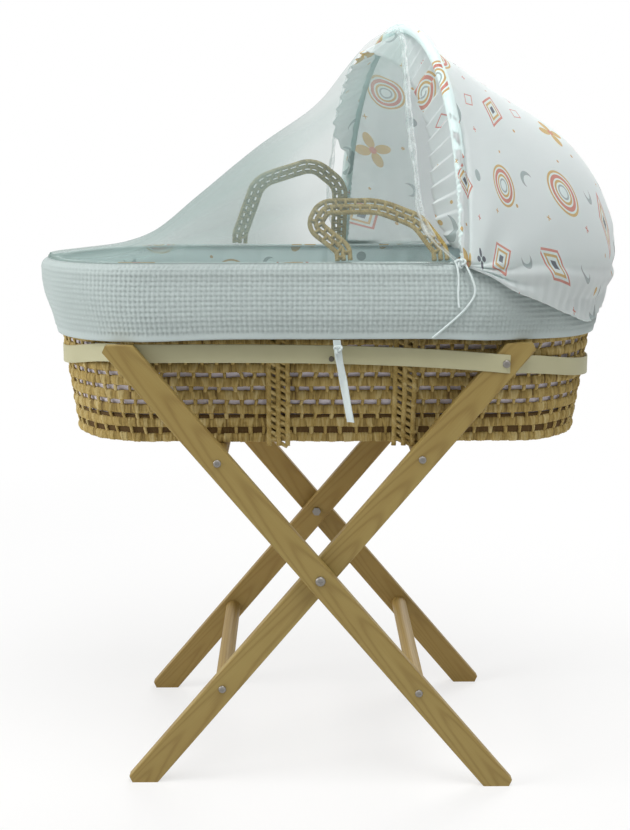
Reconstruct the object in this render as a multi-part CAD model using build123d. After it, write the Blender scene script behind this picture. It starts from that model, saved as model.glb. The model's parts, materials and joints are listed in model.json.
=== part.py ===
from build123d import *
import os
from math import cos, pi, radians, sin, sqrt, tan

# A woven bassinet with hood and net on a folding wooden stand.
# Millimetres. X runs from the foot end to the head end, Y away from the viewer, Z up from the floor.
# The origin is on the floor below the middle of the whole object.

# Clearances
SOFT_GAP = 0.4       # cloth to what it rests on
SEAT_GAP = 0.3       # basket to the rails that carry it
RUN_GAP = 0.1        # face to face at the turning pivots
PIVOT_PLAY = 0.06    # pivot bolt in its bore, on the radius
SCREW_PLAY = 0.05    # screw in its hole, on the radius
HOLE_SPARE = 1.0     # the rails are drilled this much deeper than their screws go
LEG_TO_BASKET = 2.75   # inner legs to the bands of the basket
FOLD_RISE = 20.0     # the leg tops rise this far beside the basket as the stand folds
CUT_PAST = 1.0       # a hollow is cut this far past the end of its solid

# Folding stand
STAND_X = -16.0      # the pivots stand a little nearer to the foot end
LEG_ANGLE = 40.0     # each leg from the vertical, stand open
LEG_WIDTH = 40.0
LEG_THICK = 18.0
LEG_EDGE = 2.0       # rounding of the long edges
LEG_TOP_Z = 680.0
LEG_TIP_CUT = 13.0   # cut across the sharp tip of each end
PIVOT_Z = 328.0
LEG_GAP = 2.4        # between an outer leg and the inner leg beside it
RAIL_D = 25.0
UPPER_RAIL_AT = 234.0   # from the pivot, along the leg
LOWER_RAIL_AT = 231.0

# Fasteners of the stand
PIVOT_R = 4.0
PIVOT_HEAD_R = 7.5
PIVOT_HEAD_H = 4.0
NUT_R = 7.5
NUT_H = 5.0
WASHER_R = 11.0
SCREW_R = 2.5
SCREW_HEAD_R = 5.8
SCREW_HEAD_H = 2.6
SCREW_IN_RAIL = 32.0
HEAD_DOME = 0.8      # share of a head's height that is rounded
SLOT_W = 1.6         # arms of the cross cut in each head
SLOT_DEPTH = 1.0

# Strap that keeps the leg tops from spreading
STRAP_W = 27.0
STRAP_T = 1.6
STRAP_CORNER = 100.0
STRAP_FOOT_DROP = 14.0    # middle of the strap, below the tops of the foot side legs
STRAP_HEAD_DROP = 30.0    # the same at the head side legs
STRAP_FOOT_SAG = 23.0     # drop of the strap round the foot end
STRAP_HEAD_SAG = 26.0
STRAP_END_GAP = 1.0       # strap to basket at both ends
STRAP_SCREW_GRIP = 12.0
RIVET_R = 4.0
RIVET_H = 1.6

# Woven basket, as half lengths and half widths of rounded-end outlines
BASKET_X = -4.0
BASKET_H = 256.0
BASE_A = 394.0
BASE_B = 134.0
TOP_A = 430.0
TOP_B = 186.0
WALL = 9.0
ROWS = 12
ROW_FULL = 0.56      # share of a row's height over which it stands full
ROW_GROOVE = 2.5     # how far the coil rows draw in where they meet
BASE_ROUND = 6.0     # how far the lowest row draws in under the basket
BASE_T = 8.0
RIM_R = 8.0
BAND_W = 36.0
BAND_T = 6.0
BAND_FOOT_X = -78.0
BAND_HEAD_X = 110.0
BAND_BEND = 76.0     # below the top of the wall; from there up the bands slant to the handle feet

# Carry handles: middle line of each flat strap as (x, height above its hinge)
HANDLE_W = 26.0
HANDLE_T = 8.0
HANDLE_IN = 6.0      # hinge line, in from the outside of the wall's top
NEAR_LEAN = 26.0     # each handle leans inwards from the vertical
FAR_LEAN = 27.0
NEAR_HANDLE = [(18, 0), (17, 17), (-26, 54), (-10, 83), (70, 84), (126, 60), (157, 16), (158, 0)]
NEAR_RADII = [15, 16, 20, 90, 40, 14]
FAR_HANDLE = [(-146, 0), (-145, 16), (-112, 116), (-22, 148), (22, 108), (21, 14), (20, 0)]
FAR_RADII = [16, 46, 34, 40, 14]

# Bedding and dressing
MATTRESS_GAP = 4.0
MATTRESS_H = 42.0
# Side of the mattress: share of its height, how far the outline draws in there
MATTRESS_SIDE = [(0, 9), (0.1, 3), (0.35, 0), (0.62, 1.5), (0.82, 9), (0.94, 26), (1, 56)]
LINER_T = 6.0
SKIRT_T = 2.0
LEG_TO_SKIRT = 1.0     # leg tops rise inside the skirt when the stand folds
HEM_OUT_A = 7.2        # the hem hangs this far outside the wall at the ends
HEM_SWELL_A = 7.0      # the skirt swells again above the hem
HEM_SWELL_H = 25.0     # height of that swell, which the leg tops need too
HEM_CORNER = 150.0     # the hem is squarer round the foot end, where the leg tops slide in it
SKIRT_END_FLAT = 2.0   # half length of the straight piece that is left across the foot end at the rim
HEM_CLEAR = 10.0       # hem above the tops of the legs
HEM_END_DROP = 29.0    # the hem hangs this much lower round both ends
HEM_FALL = 91.0        # length over which it falls, from each end inwards
SKIRT_BULGE_A = 11.0   # fullness of the skirt past the wall's top, at the ends
SKIRT_BULGE_B = 20.0   # the same along the sides
SKIRT_BULGE_DROP = 3.0   # the fullest line, below the top of the wall
SKIRT_TURN_H = 4.0     # where the skirt turns in over the rim, above the rim's middle
SKIRT_TURN_A = 10.0    # how far it stands past the wall's top there
SKIRT_TURN_B = 16.0
SKIRT_TOP_A = 1.0      # outer edge of its flat top, past the wall's top
SKIRT_TOP_B = 7.0
RIBBON_W = 11.0
RIBBON_T = 1.6

# Hood on its hoop, across the basket at a skew
HOOP_FROM_HEAD = 315.0   # middle of the hoop, from the head end of the wall's top
HOOP_SKEW = 22.5
HOOP_OUT = 6.2         # each end of the hoop stands past the wall's top
HOOP_H = 336.0
HOOP_R = 4.5
HOOD_T = 2.0
HOOD_EASE = 4.0        # cloth to hoop at the front, where the ridge falls away behind it
HOOD_OUT = 28.7        # the hood's outline round the head end, past the wall's top
FRILL_START = 3.0      # degrees of the arch left bare at each end
FRILL_W = 45.0
FRILL_T = 1.2
FRILL_PLEATS = 26
FRILL_WAVE = 2.6       # half height of the pleats at the hoop
FRILL_FLARE = 1.7      # the pleats open this many times wider at the free edge
# From the hoop to the back: distance from the end of that outline, skew, ridge above the hoop's ends,
# hem below the top of the dressing
HOOD_STATIONS = [
    (251.0, 8.0, 283.0, 14.0),
    (166.0, 0.0, 225.0, 44.0),
    (86.0, 0.0, 167.0, 76.0),
    (36.0, 0.0, 111.0, 94.0),
    (11.0, 0.0, 61.0, 79.0),
]

# Net from the hoop down to the foot end of the rim
NET_T = 1.2
NET_AHEAD = 12.0       # front edge of the net ahead of the hoop
NET_OUT = 5.0          # edge of the net, past the wall's top
# From the hoop to the foot end: share of the way from that end, skew, height of the ridge above the edge
NET_STATIONS = [
    (0.83, 12.0, 257.0),
    (0.59, 5.0, 173.0),
    (0.425, 0.0, 99.0),
    (0.305, 0.0, 46.0),
    (0.2, 0.0, 22.0),
    (0.062, 0.0, 9.0),
    (0.0055, 0.0, 5.0),
]

# Hanging ties, as routes chosen by eye
TIE_D = 3.0
LONG_TIE = [
    (188.6, -197.1, 799.3), (190, -208, 795.5), (199, -214.5, 778), (206, -219, 756),
    (193, -223, 736), (171, -225, 715), (143, -225, 692),
]
SHORT_TIE = [(177, -197.1, 799), (178, -208, 796), (181, -215, 776), (179, -220, 752), (181, -223, 735)]
RIBBON = [(7, 688.8), (9, 668), (15, 640), (20, 606), (27, 569)]

# Values worked out from the sizes above
LEAN = radians(LEG_ANGLE)
BASE_Z = PIVOT_Z + UPPER_RAIL_AT * cos(LEAN) + RAIL_D / 2 + SEAT_GAP
WALL_TOP_Z = BASE_Z + BASKET_H
RIM_Z = WALL_TOP_Z + RIM_R
DRESS_LOW_Z = RIM_Z + RIM_R + SOFT_GAP
DRESS_Z = DRESS_LOW_Z + SKIRT_T
HEM_Z = LEG_TOP_Z + HEM_CLEAR
HINGE_Z = DRESS_Z + SOFT_GAP + HANDLE_T / 2
HOOP_Z = DRESS_Z + SOFT_GAP + HOOP_R
HOOP_X = BASKET_X + TOP_A - HOOP_FROM_HEAD
HOOP_HALF = (TOP_B + HOOP_OUT) / cos(radians(HOOP_SKEW))
STRAP_FOOT_Z = LEG_TOP_Z - STRAP_FOOT_DROP
STRAP_HEAD_Z = LEG_TOP_Z - STRAP_HEAD_DROP


def wall_half(height):
    """Half length and half width of the basket's outside at a height above its base."""
    share = height / BASKET_H
    return BASE_A + (TOP_A - BASE_A) * share, BASE_B + (TOP_B - BASE_B) * share


# The two frames fit round the basket, one outside the other
INNER_IN_Y = wall_half(LEG_TOP_Z + FOLD_RISE - BASE_Z)[1] + SEAT_GAP + BAND_T + LEG_TO_BASKET
INNER_OUT_Y = INNER_IN_Y + LEG_THICK
STRAP_Y = INNER_OUT_Y + LEG_GAP / 2
OUTER_IN_Y = INNER_OUT_Y + LEG_GAP
OUTER_Y = OUTER_IN_Y + LEG_THICK


def rim_span(end_distance, out):
    """Half width, at a distance from its end, of an outline that lies outside the wall's top."""
    radius = TOP_B + out
    if end_distance >= radius:
        return radius
    return sqrt(radius ** 2 - (radius - end_distance) ** 2)


def block_y(points, y0, y1):
    """A prism with its outline in X and Z, from y0 to y1."""
    outline = Polyline(*[(x, y0, z) for x, z in points], close=True)
    return extrude(make_face(outline), amount=y1 - y0, dir=(0, 1, 0))


def rod_y(x, z, radius, y0, y1):
    """A round bar along Y."""
    return Pos(x, (y0 + y1) / 2, z) * Rot(90, 0, 0) * Cylinder(radius, abs(y1 - y0))


def facing(x, y, z, side):
    """The place of a fastener whose head looks out along side * Y."""
    return Pos(x, y, z) * Rot(-90 * side, 0, 0)


def on_leg(lean, distance):
    """A point of a leg's middle line, measured up from the pivot; lean is the side its top leans to."""
    return STAND_X + lean * distance * sin(LEAN), PIVOT_Z + distance * cos(LEAN)


def at_height(z):
    """Distance from the pivot, along a leg, of the point at height z."""
    return (z - PIVOT_Z) / cos(LEAN)


# Fasteners: each is drawn with its head up and its seat at height 0
def cross_head(radius, height):
    head = Pos(0, 0, height / 2) * Cylinder(radius, height)
    head = fillet(head.edges().group_by(Axis.Z)[-1], height * HEAD_DOME)
    for turn in (0, 90):
        arm = Box(radius, SLOT_W, 2 * SLOT_DEPTH)
        head -= Pos(0, 0, height) * Rot(0, 0, turn) * arm
    return head


def screw(length):
    return cross_head(SCREW_HEAD_R, SCREW_HEAD_H) + Pos(0, 0, -length / 2) * Cylinder(SCREW_R, length)


def pivot_bolt():
    grip = 2 * LEG_THICK + LEG_GAP + 2 * RUN_GAP + NUT_H
    return cross_head(PIVOT_HEAD_R, PIVOT_HEAD_H) + Pos(0, 0, -grip / 2) * Cylinder(PIVOT_R, grip)


def pivot_nut():
    nut = extrude(RegularPolygon(NUT_R, 6), amount=NUT_H)
    return nut - Cylinder(PIVOT_R + SCREW_PLAY, 4 * NUT_H)


# Stand
def leg(lean, y0, strap_z):
    """One leg, cut level at both ends, with its sharp tips taken off; lean is the side its top leans to."""
    half = LEG_WIDTH / 2 / cos(LEAN)
    foot = STAND_X - lean * PIVOT_Z * tan(LEAN)
    top = STAND_X + lean * (LEG_TOP_Z - PIVOT_Z) * tan(LEAN)
    cut_x = LEG_TIP_CUT * sin(LEAN)
    cut_z = LEG_TIP_CUT * cos(LEAN)
    outline = [
        (foot + lean * half, 0),
        (foot - lean * (half - LEG_TIP_CUT), 0),
        (foot - lean * (half - cut_x), cut_z),
        (top - lean * half, LEG_TOP_Z),
        (top + lean * (half - LEG_TIP_CUT), LEG_TOP_Z),
        (top + lean * (half - cut_x), LEG_TOP_Z - cut_z),
    ]
    body = block_y(outline, y0, y0 + LEG_THICK)
    long_edges = body.edges().filter_by(lambda e: e.length > (LEG_TOP_Z - 2 * cut_z))
    body = fillet(long_edges, LEG_EDGE)
    y1 = y0 + LEG_THICK
    body -= rod_y(*on_leg(lean, 0), PIVOT_R + PIVOT_PLAY, y0, y1)
    for distance in (UPPER_RAIL_AT, -LOWER_RAIL_AT):
        body -= rod_y(*on_leg(lean, distance), SCREW_R + SCREW_PLAY, y0, y1)
    # The screw of the strap goes in from the face that the strap lies on, and not right through
    strap_face, other_face = sorted((y0, y1), key=lambda y: abs(abs(y) - STRAP_Y))
    hole_end = strap_face + (other_face - strap_face) * STRAP_SCREW_GRIP / LEG_THICK
    body -= rod_y(*on_leg(lean, at_height(strap_z)), SCREW_R + SCREW_PLAY, strap_face, hole_end)
    return body


def rail(lean, distance, half_length):
    """A round rail between two legs, drilled at both ends for its screws."""
    x, z = on_leg(lean, distance)
    bar = rod_y(x, z, RAIL_D / 2, -half_length, half_length)
    for side in (-1, 1):
        hole_end = half_length - SCREW_IN_RAIL - HOLE_SPARE
        bar -= rod_y(x, z, SCREW_R + SCREW_PLAY, side * half_length, side * hole_end)
    return bar


def rail_screws(lean, face_y):
    """Four screws, through the outer faces of a pair of legs into the ends of their rails."""
    screws = []
    for distance in (UPPER_RAIL_AT, -LOWER_RAIL_AT):
        x, z = on_leg(lean, distance)
        for side in (-1, 1):
            screws.append(facing(x, side * face_y, z, side) * screw(LEG_THICK + SCREW_IN_RAIL))
    return screws


def strap_screws(lean, strap_z, look):
    """Two screws that hold the strap on the legs of one frame; look is 1 where the heads look outwards."""
    x, z = on_leg(lean, at_height(strap_z))
    screws = []
    for side in (-1, 1):
        face_y = side * (STRAP_Y + look * STRAP_T / 2)
        screws.append(facing(x, face_y, z, side * look) * screw(STRAP_SCREW_GRIP))
    return screws


def pivot_row(make, y, facing_in=False):
    """One copy of a fastener at the front pivot and one at the rear pivot."""
    x, z = on_leg(1, 0)
    copies = []
    for side in (-1, 1):
        look = -side if facing_in else side
        copies.append(facing(x, side * y, z, look) * make())
    return copies


def spacer():
    ring = Cylinder(WASHER_R, LEG_GAP - 2 * RUN_GAP) - Cylinder(PIVOT_R + SCREW_PLAY, 2 * LEG_GAP)
    return ring


def strap():
    """A strip that runs between the two frames and round both ends of the basket."""
    low_z = min(STRAP_FOOT_Z - STRAP_FOOT_SAG, STRAP_HEAD_Z - STRAP_HEAD_SAG) - STRAP_W
    high_z = max(STRAP_FOOT_Z, STRAP_HEAD_Z) + STRAP_W
    half_a = wall_half(high_z - BASE_Z)[0] + STRAP_END_GAP + STRAP_T / 2
    outside = RectangleRounded(2 * half_a + STRAP_T, 2 * STRAP_Y + STRAP_T, STRAP_CORNER + STRAP_T / 2)
    inside = RectangleRounded(2 * half_a - STRAP_T, 2 * STRAP_Y - STRAP_T, STRAP_CORNER - STRAP_T / 2)
    ring = Pos(BASKET_X, 0, low_z) * extrude(outside - inside, amount=high_z - low_z)
    foot_x = on_leg(-1, at_height(STRAP_FOOT_Z))[0]
    head_x = on_leg(1, at_height(STRAP_HEAD_Z))[0]
    line = [
        (BASKET_X - half_a - STRAP_W, STRAP_FOOT_Z - STRAP_FOOT_SAG),
        (foot_x, STRAP_FOOT_Z),
        (head_x, STRAP_HEAD_Z),
        (BASKET_X + half_a + STRAP_W, STRAP_HEAD_Z - STRAP_HEAD_SAG),
    ]
    upper = [(x, z + STRAP_W / 2) for x, z in line]
    lower = [(x, z - STRAP_W / 2) for x, z in reversed(line)]
    strip = ring & block_y(upper + lower, -OUTER_Y, OUTER_Y)
    for x, z in (on_leg(-1, at_height(STRAP_FOOT_Z)), on_leg(1, at_height(STRAP_HEAD_Z))):
        strip -= rod_y(x, z, SCREW_R + SCREW_PLAY, -OUTER_Y, OUTER_Y)
    return strip


def strap_rivets():
    """A flat rivet at the middle of each long side, on the lap of the strap."""
    z = (STRAP_FOOT_Z + STRAP_HEAD_Z) / 2
    rivets = []
    for side in (-1, 1):
        head = Pos(0, 0, RIVET_H / 2) * Cylinder(RIVET_R, RIVET_H)
        head = fillet(head.edges().group_by(Axis.Z)[-1], RIVET_H / 2)
        rivets.append(facing(0, side * (STRAP_Y + STRAP_T / 2), z, side) * head)
    return rivets


# Basket
def slot_face(half_a, half_b, z):
    """An outline with straight sides and round ends, level at height z."""
    c = half_a - half_b
    d = half_b * cos(radians(45))
    edges = [
        Line((-c, -half_b), (c, -half_b)),
        ThreePointArc((c, -half_b), (c + d, -d), (half_a, 0)),
        ThreePointArc((half_a, 0), (c + d, d), (c, half_b)),
        Line((c, half_b), (-c, half_b)),
        ThreePointArc((-c, half_b), (-c - d, d), (-half_a, 0)),
        ThreePointArc((-half_a, 0), (-c - d, -d), (-c, -half_b)),
    ]
    return Pos(BASKET_X, 0, z) * make_face(edges)


def skirt_face(half_a, half_b, z, corner):
    """As slot_face, but squarer at the foot end, with its own corner radius there."""
    c = half_a - half_b
    d = half_b * cos(radians(45))
    foot_x = corner - half_a
    foot_y = half_b - corner
    k = corner * cos(radians(45))
    edges = [
        Line((foot_x, -half_b), (c, -half_b)),
        ThreePointArc((c, -half_b), (c + d, -d), (half_a, 0)),
        ThreePointArc((half_a, 0), (c + d, d), (c, half_b)),
        Line((c, half_b), (foot_x, half_b)),
        ThreePointArc((foot_x, half_b), (foot_x - k, foot_y + k), (-half_a, foot_y)),
        Line((-half_a, foot_y), (-half_a, -foot_y)),
        ThreePointArc((-half_a, -foot_y), (foot_x - k, -foot_y - k), (foot_x, -half_b)),
    ]
    return Pos(BASKET_X, 0, z) * make_face(edges)


def slot_loft(sections):
    """A solid through outlines given as (half length, half width, height)."""
    return loft([slot_face(*section) for section in sections], ruled=True)


def wall_section(height, inset):
    half_a, half_b = wall_half(height)
    return half_a - inset, half_b - inset, BASE_Z + height


def basket_wall():
    """Coil rows one above another: each bulges, and draws in where it meets the next."""
    pitch = BASKET_H / ROWS
    turn = (1 - ROW_FULL) / 2
    outside = [wall_section(0, BASE_ROUND)]
    for row in range(ROWS):
        outside.append(wall_section((row + turn) * pitch, 0))
        outside.append(wall_section((row + 1 - turn) * pitch, 0))
        outside.append(wall_section((row + 1) * pitch, ROW_GROOVE))
    inside = [wall_section(-CUT_PAST, WALL), wall_section(BASKET_H + CUT_PAST, WALL)]
    return slot_loft(outside) - slot_loft(inside)


def basket_base():
    half_a, half_b = wall_half(0)
    inset = WALL + SEAT_GAP
    return extrude(slot_face(half_a - inset, half_b - inset, BASE_Z), amount=BASE_T)


def basket_rim():
    """A round border on top of the wall."""
    half_a, half_b = wall_half(BASKET_H)
    path = slot_face(half_a - WALL / 2, half_b - WALL / 2, RIM_Z).face().outer_wire()
    start = Plane(origin=path @ 0, z_dir=path % 0)
    return sweep(start * Circle(RIM_R), path=path)


def band(low_x, high_x, side):
    """A flat braided band up one long wall, slanting to a handle's foot under the skirt."""
    gap = SEAT_GAP
    outer = slot_loft([wall_section(0, -gap - BAND_T), wall_section(BASKET_H, -gap - BAND_T)])
    inner = slot_loft([wall_section(-CUT_PAST, -gap), wall_section(BASKET_H + CUT_PAST, -gap)])
    bend_z = WALL_TOP_Z - BAND_BEND
    half = BAND_W / 2
    outline = [
        (low_x - half, BASE_Z),
        (low_x + half, BASE_Z),
        (low_x + half, bend_z),
        (high_x + half, WALL_TOP_Z),
        (high_x - half, WALL_TOP_Z),
        (low_x - half, bend_z),
    ]
    strip = block_y(outline, min(0, side * OUTER_Y), max(0, side * OUTER_Y))
    return (outer - inner) & strip


def handle(points, radii, lean, side):
    """A flat strap bent into a loop, round at its feet where it turns on the rim."""
    path = FilletPolyline(*[(x, 0, h) for x, h in points], radius=radii)
    path = Wire(path.edges())
    along = path % 0
    across = Vector(along.Z, 0, -along.X)
    start = Plane(origin=path @ 0, x_dir=across, z_dir=along)
    loop = sweep(start * Rectangle(HANDLE_W, HANDLE_T), path=path)
    for x in (points[0][0], points[-1][0]):
        loop += Pos(x, 0, 0) * Rot(0, 90, 0) * Cylinder(HANDLE_T / 2, HANDLE_W)
    return Pos(0, side * (TOP_B - HANDLE_IN), HINGE_Z) * Rot(side * lean, 0, 0) * loop


# Bedding and dressing
def liner_half(share):
    """Outside of the lining, from the base plate (0) to the rim (1)."""
    base_a, base_b = wall_half(0)
    top_a, top_b = wall_half(BASKET_H)
    low = WALL + SOFT_GAP
    high = WALL / 2 + RIM_R + SOFT_GAP
    half_a = base_a - low + (top_a - high - base_a + low) * share
    half_b = base_b - low + (top_b - high - base_b + low) * share
    return half_a, half_b


def liner():
    """A padded lining round the inside of the wall, open at the top and at the base."""
    low_z = BASE_Z + BASE_T + SEAT_GAP
    high_z = DRESS_LOW_Z - SOFT_GAP
    low = liner_half(0)
    high = liner_half(1)
    outer = slot_loft([(*low, low_z), (*high, high_z)])
    inner_low = (low[0] - LINER_T, low[1] - LINER_T, low_z - SEAT_GAP)
    inner_high = (high[0] - LINER_T, high[1] - LINER_T, high_z + SEAT_GAP)
    return outer - slot_loft([inner_low, inner_high])


def mattress():
    """A crowned pad whose sides draw in towards its base."""
    low = liner_half(0)
    half_a = low[0] - LINER_T - MATTRESS_GAP
    half_b = low[1] - LINER_T - MATTRESS_GAP
    low_z = BASE_Z + BASE_T + SEAT_GAP
    sections = []
    for rise, inset in MATTRESS_SIDE:
        sections.append((half_a - inset, half_b - inset, low_z + MATTRESS_H * rise))
    return slot_loft(sections)


def hem_half_length():
    """Half length of the skirt at its lowest, outside the wall."""
    return wall_half(HEM_Z - HEM_END_DROP - BASE_Z)[0] + HEM_OUT_A


def skirt_loft(inset, past, top_z):
    """The room inside an outline of the skirt, from below its hem to the top of the rim."""
    hem_a = hem_half_length()
    hem_b = OUTER_Y + LEG_TO_SKIRT + SKIRT_T
    sections = [
        (hem_a, hem_b, HEM_Z - HEM_END_DROP - CUT_PAST - past, HEM_CORNER),
        (hem_a + HEM_SWELL_A, hem_b, HEM_Z + HEM_SWELL_H, HEM_CORNER),
    ]
    for out_a, out_b, z in [
        (SKIRT_BULGE_A, SKIRT_BULGE_B, WALL_TOP_Z - SKIRT_BULGE_DROP),
        (SKIRT_TURN_A, SKIRT_TURN_B, RIM_Z + SKIRT_TURN_H),
        (SKIRT_TOP_A, SKIRT_TOP_B, top_z),
    ]:
        sections.append((TOP_A + out_a, TOP_B + out_b, z, TOP_B + out_b - SKIRT_END_FLAT))
    faces = [skirt_face(a - inset, b - inset, z, corner - inset) for a, b, z, corner in sections]
    return loft(faces, ruled=True)


def skirt():
    """The cloth that goes over the rim and hangs outside, over the tops of the legs."""
    outer = skirt_loft(0, 0, DRESS_Z)
    inner = skirt_loft(SKIRT_T, CUT_PAST, DRESS_LOW_Z)
    mouth = liner_half(1)
    hole = extrude(slot_face(mouth[0] - LINER_T, mouth[1] - LINER_T, RIM_Z), amount=4 * RIM_R)
    flat_x = hem_half_length() - HEM_FALL
    slope = HEM_END_DROP / HEM_FALL
    far_x = 2 * TOP_A
    far_z = HEM_Z - (far_x - flat_x) * slope
    below = block_y([
        (BASKET_X - far_x, far_z),
        (BASKET_X - flat_x, HEM_Z),
        (BASKET_X + flat_x, HEM_Z),
        (BASKET_X + far_x, far_z),
        (BASKET_X, 0),
    ], -2 * OUTER_Y, 2 * OUTER_Y)
    return outer - inner - hole - below


# Hood
def skew_plane(x, skew, ahead=0.0):
    """An upright plane across the basket: its own x points to the near side, its own y up."""
    angle = radians(skew)
    origin = (x - ahead * cos(angle), -ahead * sin(angle), 0)
    return Plane(origin=origin, x_dir=(sin(angle), -cos(angle), 0), z_dir=(-cos(angle), -sin(angle), 0))


def arch_face(plane, half, spring_z, ridge_z, low_z):
    """An arch: straight sides up to the springing, half an ellipse above."""
    rise = ridge_z - spring_z
    edges = [
        Line((half, low_z), (half, spring_z)),
        EllipticalCenterArc((0, spring_z), half, rise, start_angle=0, arc_size=90),
        EllipticalCenterArc((0, spring_z), half, rise, start_angle=90, arc_size=90),
        Line((-half, spring_z), (-half, low_z)),
        Line((-half, low_z), (half, low_z)),
    ]
    return plane * make_face(edges)


def hood_canopy():
    """The cloth from the hoop to the head end, open in front and below."""
    front_half = HOOP_HALF + HOOP_R + HOOD_EASE + HOOD_T
    front_rise = HOOP_H + HOOP_R + HOOD_EASE + HOOD_T
    floor_z = DRESS_Z - max(drop for _, _, _, drop in HOOD_STATIONS) - CUT_PAST
    end_x = BASKET_X + TOP_A + HOOD_OUT
    stations = [(HOOP_X, HOOP_SKEW, front_half, front_rise, SOFT_GAP)]
    for distance, skew, rise, drop in HOOD_STATIONS:
        stations.append((end_x - distance, skew, rim_span(distance, HOOD_OUT), rise, -drop))
    outer = []
    inner = [arch_face(skew_plane(HOOP_X, HOOP_SKEW, 2 * HOOP_R), front_half - HOOD_T, HOOP_Z,
                       HOOP_Z + front_rise - HOOD_T, floor_z)]
    for x, skew, half, rise, hem in stations:
        back = HOOD_T if x == stations[-1][0] else 0
        outer.append(arch_face(skew_plane(x, skew), half, HOOP_Z, HOOP_Z + rise, DRESS_Z + hem))
        inside = skew_plane(x, skew, back)
        inner.append(arch_face(inside, half - HOOD_T, HOOP_Z, HOOP_Z + rise - HOOD_T, floor_z))
    return loft(outer, ruled=True) - loft(inner, ruled=True)


def hoop():
    """A bent rod with round ends, which the hood and its frill hang from."""
    plane = skew_plane(HOOP_X, HOOP_SKEW)
    path = plane * EllipticalCenterArc((0, HOOP_Z), HOOP_HALF, HOOP_H, start_angle=0, arc_size=180)
    start = Plane(origin=path @ 0, z_dir=path % 0)
    rod = sweep(start * Circle(HOOP_R), path=path)
    for end in (path @ 0, path @ 1):
        rod += Pos(end) * Sphere(HOOP_R)
    return rod


def frill():
    """A pleated strip inside the hoop: each pleat stands ahead of it or behind it, wider at the free edge."""
    plane = skew_plane(HOOP_X, HOOP_SKEW)
    half = HOOP_HALF - HOOP_R - SOFT_GAP
    rise = HOOP_H - HOOP_R - SOFT_GAP
    folds = 2 * FRILL_PLEATS
    sections = []
    for fold in range(folds + 1):
        angle = radians(FRILL_START + (180 - 2 * FRILL_START) * fold / folds)
        x, z = half * cos(angle), rise * sin(angle)
        inward = Vector(-cos(angle) / half, -sin(angle) / rise, 0).normalized()
        free = Vector(x, z, 0) + inward * FRILL_W
        wave = FRILL_WAVE if fold % 2 else -FRILL_WAVE
        wide = wave * FRILL_FLARE
        t = FRILL_T / 2
        corners = [(x, z, wave - t), (free.X, free.Y, wide - t), (free.X, free.Y, wide + t), (x, z, wave + t)]
        lifted = [plane.from_local_coords(Vector(cx, cy + HOOP_Z, cz)) for cx, cy, cz in corners]
        sections.append(make_face(Polyline(*lifted, close=True)))
    return loft(sections, ruled=True)


def net():
    """A sheer tent from the hoop down to the rim of the foot end, open below."""
    low_z = DRESS_Z + SOFT_GAP
    spring_z = low_z + NET_T
    floor_z = low_z - CUT_PAST
    end_x = BASKET_X - TOP_A - NET_OUT
    planes = [(skew_plane(HOOP_X, HOOP_SKEW, NET_AHEAD), HOOP_HALF, HOOP_H)]
    for share, skew, rise in NET_STATIONS:
        distance = share * (HOOP_X - end_x)
        half = rim_span(distance, NET_OUT) / cos(radians(skew))
        planes.append((skew_plane(end_x + distance, skew), half, rise))
    outer = [arch_face(p, half, spring_z, spring_z + rise, low_z) for p, half, rise in planes]
    front = (skew_plane(HOOP_X, HOOP_SKEW), HOOP_HALF, HOOP_H)
    last_plane, last_half, last_rise = planes[-1]
    back = (last_plane.offset(-NET_T), last_half, last_rise)
    inner = []
    for p, half, rise in [front] + planes[:-1] + [back]:
        inner.append(arch_face(p, half - NET_T, spring_z, spring_z + rise - NET_T, floor_z))
    return loft(outer, ruled=True) - loft(inner, ruled=True)


# Hanging ties
def tie_path(points):
    """Straight runs joined by arcs as large as the runs allow."""
    stops = [Vector(*p) for p in points]
    radii = []
    for before, here, after in zip(stops, stops[1:], stops[2:]):
        turn = radians((here - before).get_angle(after - here))
        shorter = min((here - before).length, (after - here).length)
        radii.append(0.45 * shorter / tan(turn / 2))
    print("tie radii", [round(r, 1) for r in radii])
    return Wire(FilletPolyline(*points, radius=radii).edges())


def tie(points):
    path = tie_path(points)
    start = Plane(origin=path @ 0, z_dir=path % 0)
    tube = sweep(start * Circle(TIE_D / 2), path=path)
    straight = path.length * pi * TIE_D ** 2 / 4
    print("tie length", round(path.length, 1), "volume share", round(tube.volume / straight, 3))
    return tube


def ribbon():
    """A flat ribbon that hangs from the hem in front."""
    y = -(OUTER_Y + LEG_TO_SKIRT + SKIRT_T / 2)
    path = tie_path([(x, y, z) for x, z in RIBBON])
    along = path % 0
    start = Plane(origin=path @ 0, x_dir=(along.Z, 0, -along.X), z_dir=along)
    return sweep(start * Rectangle(RIBBON_W, RIBBON_T), path=path)


def save(name, *solids):
    """Write one node; a group of like pieces stays separate solids."""
    pieces = []
    for solid in solids:
        pieces.extend(solid.solids())
    shape = pieces[0] if len(pieces) == 1 else Compound(children=pieces)
    export_step(shape, os.path.join("parts", name + ".step"))


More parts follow.
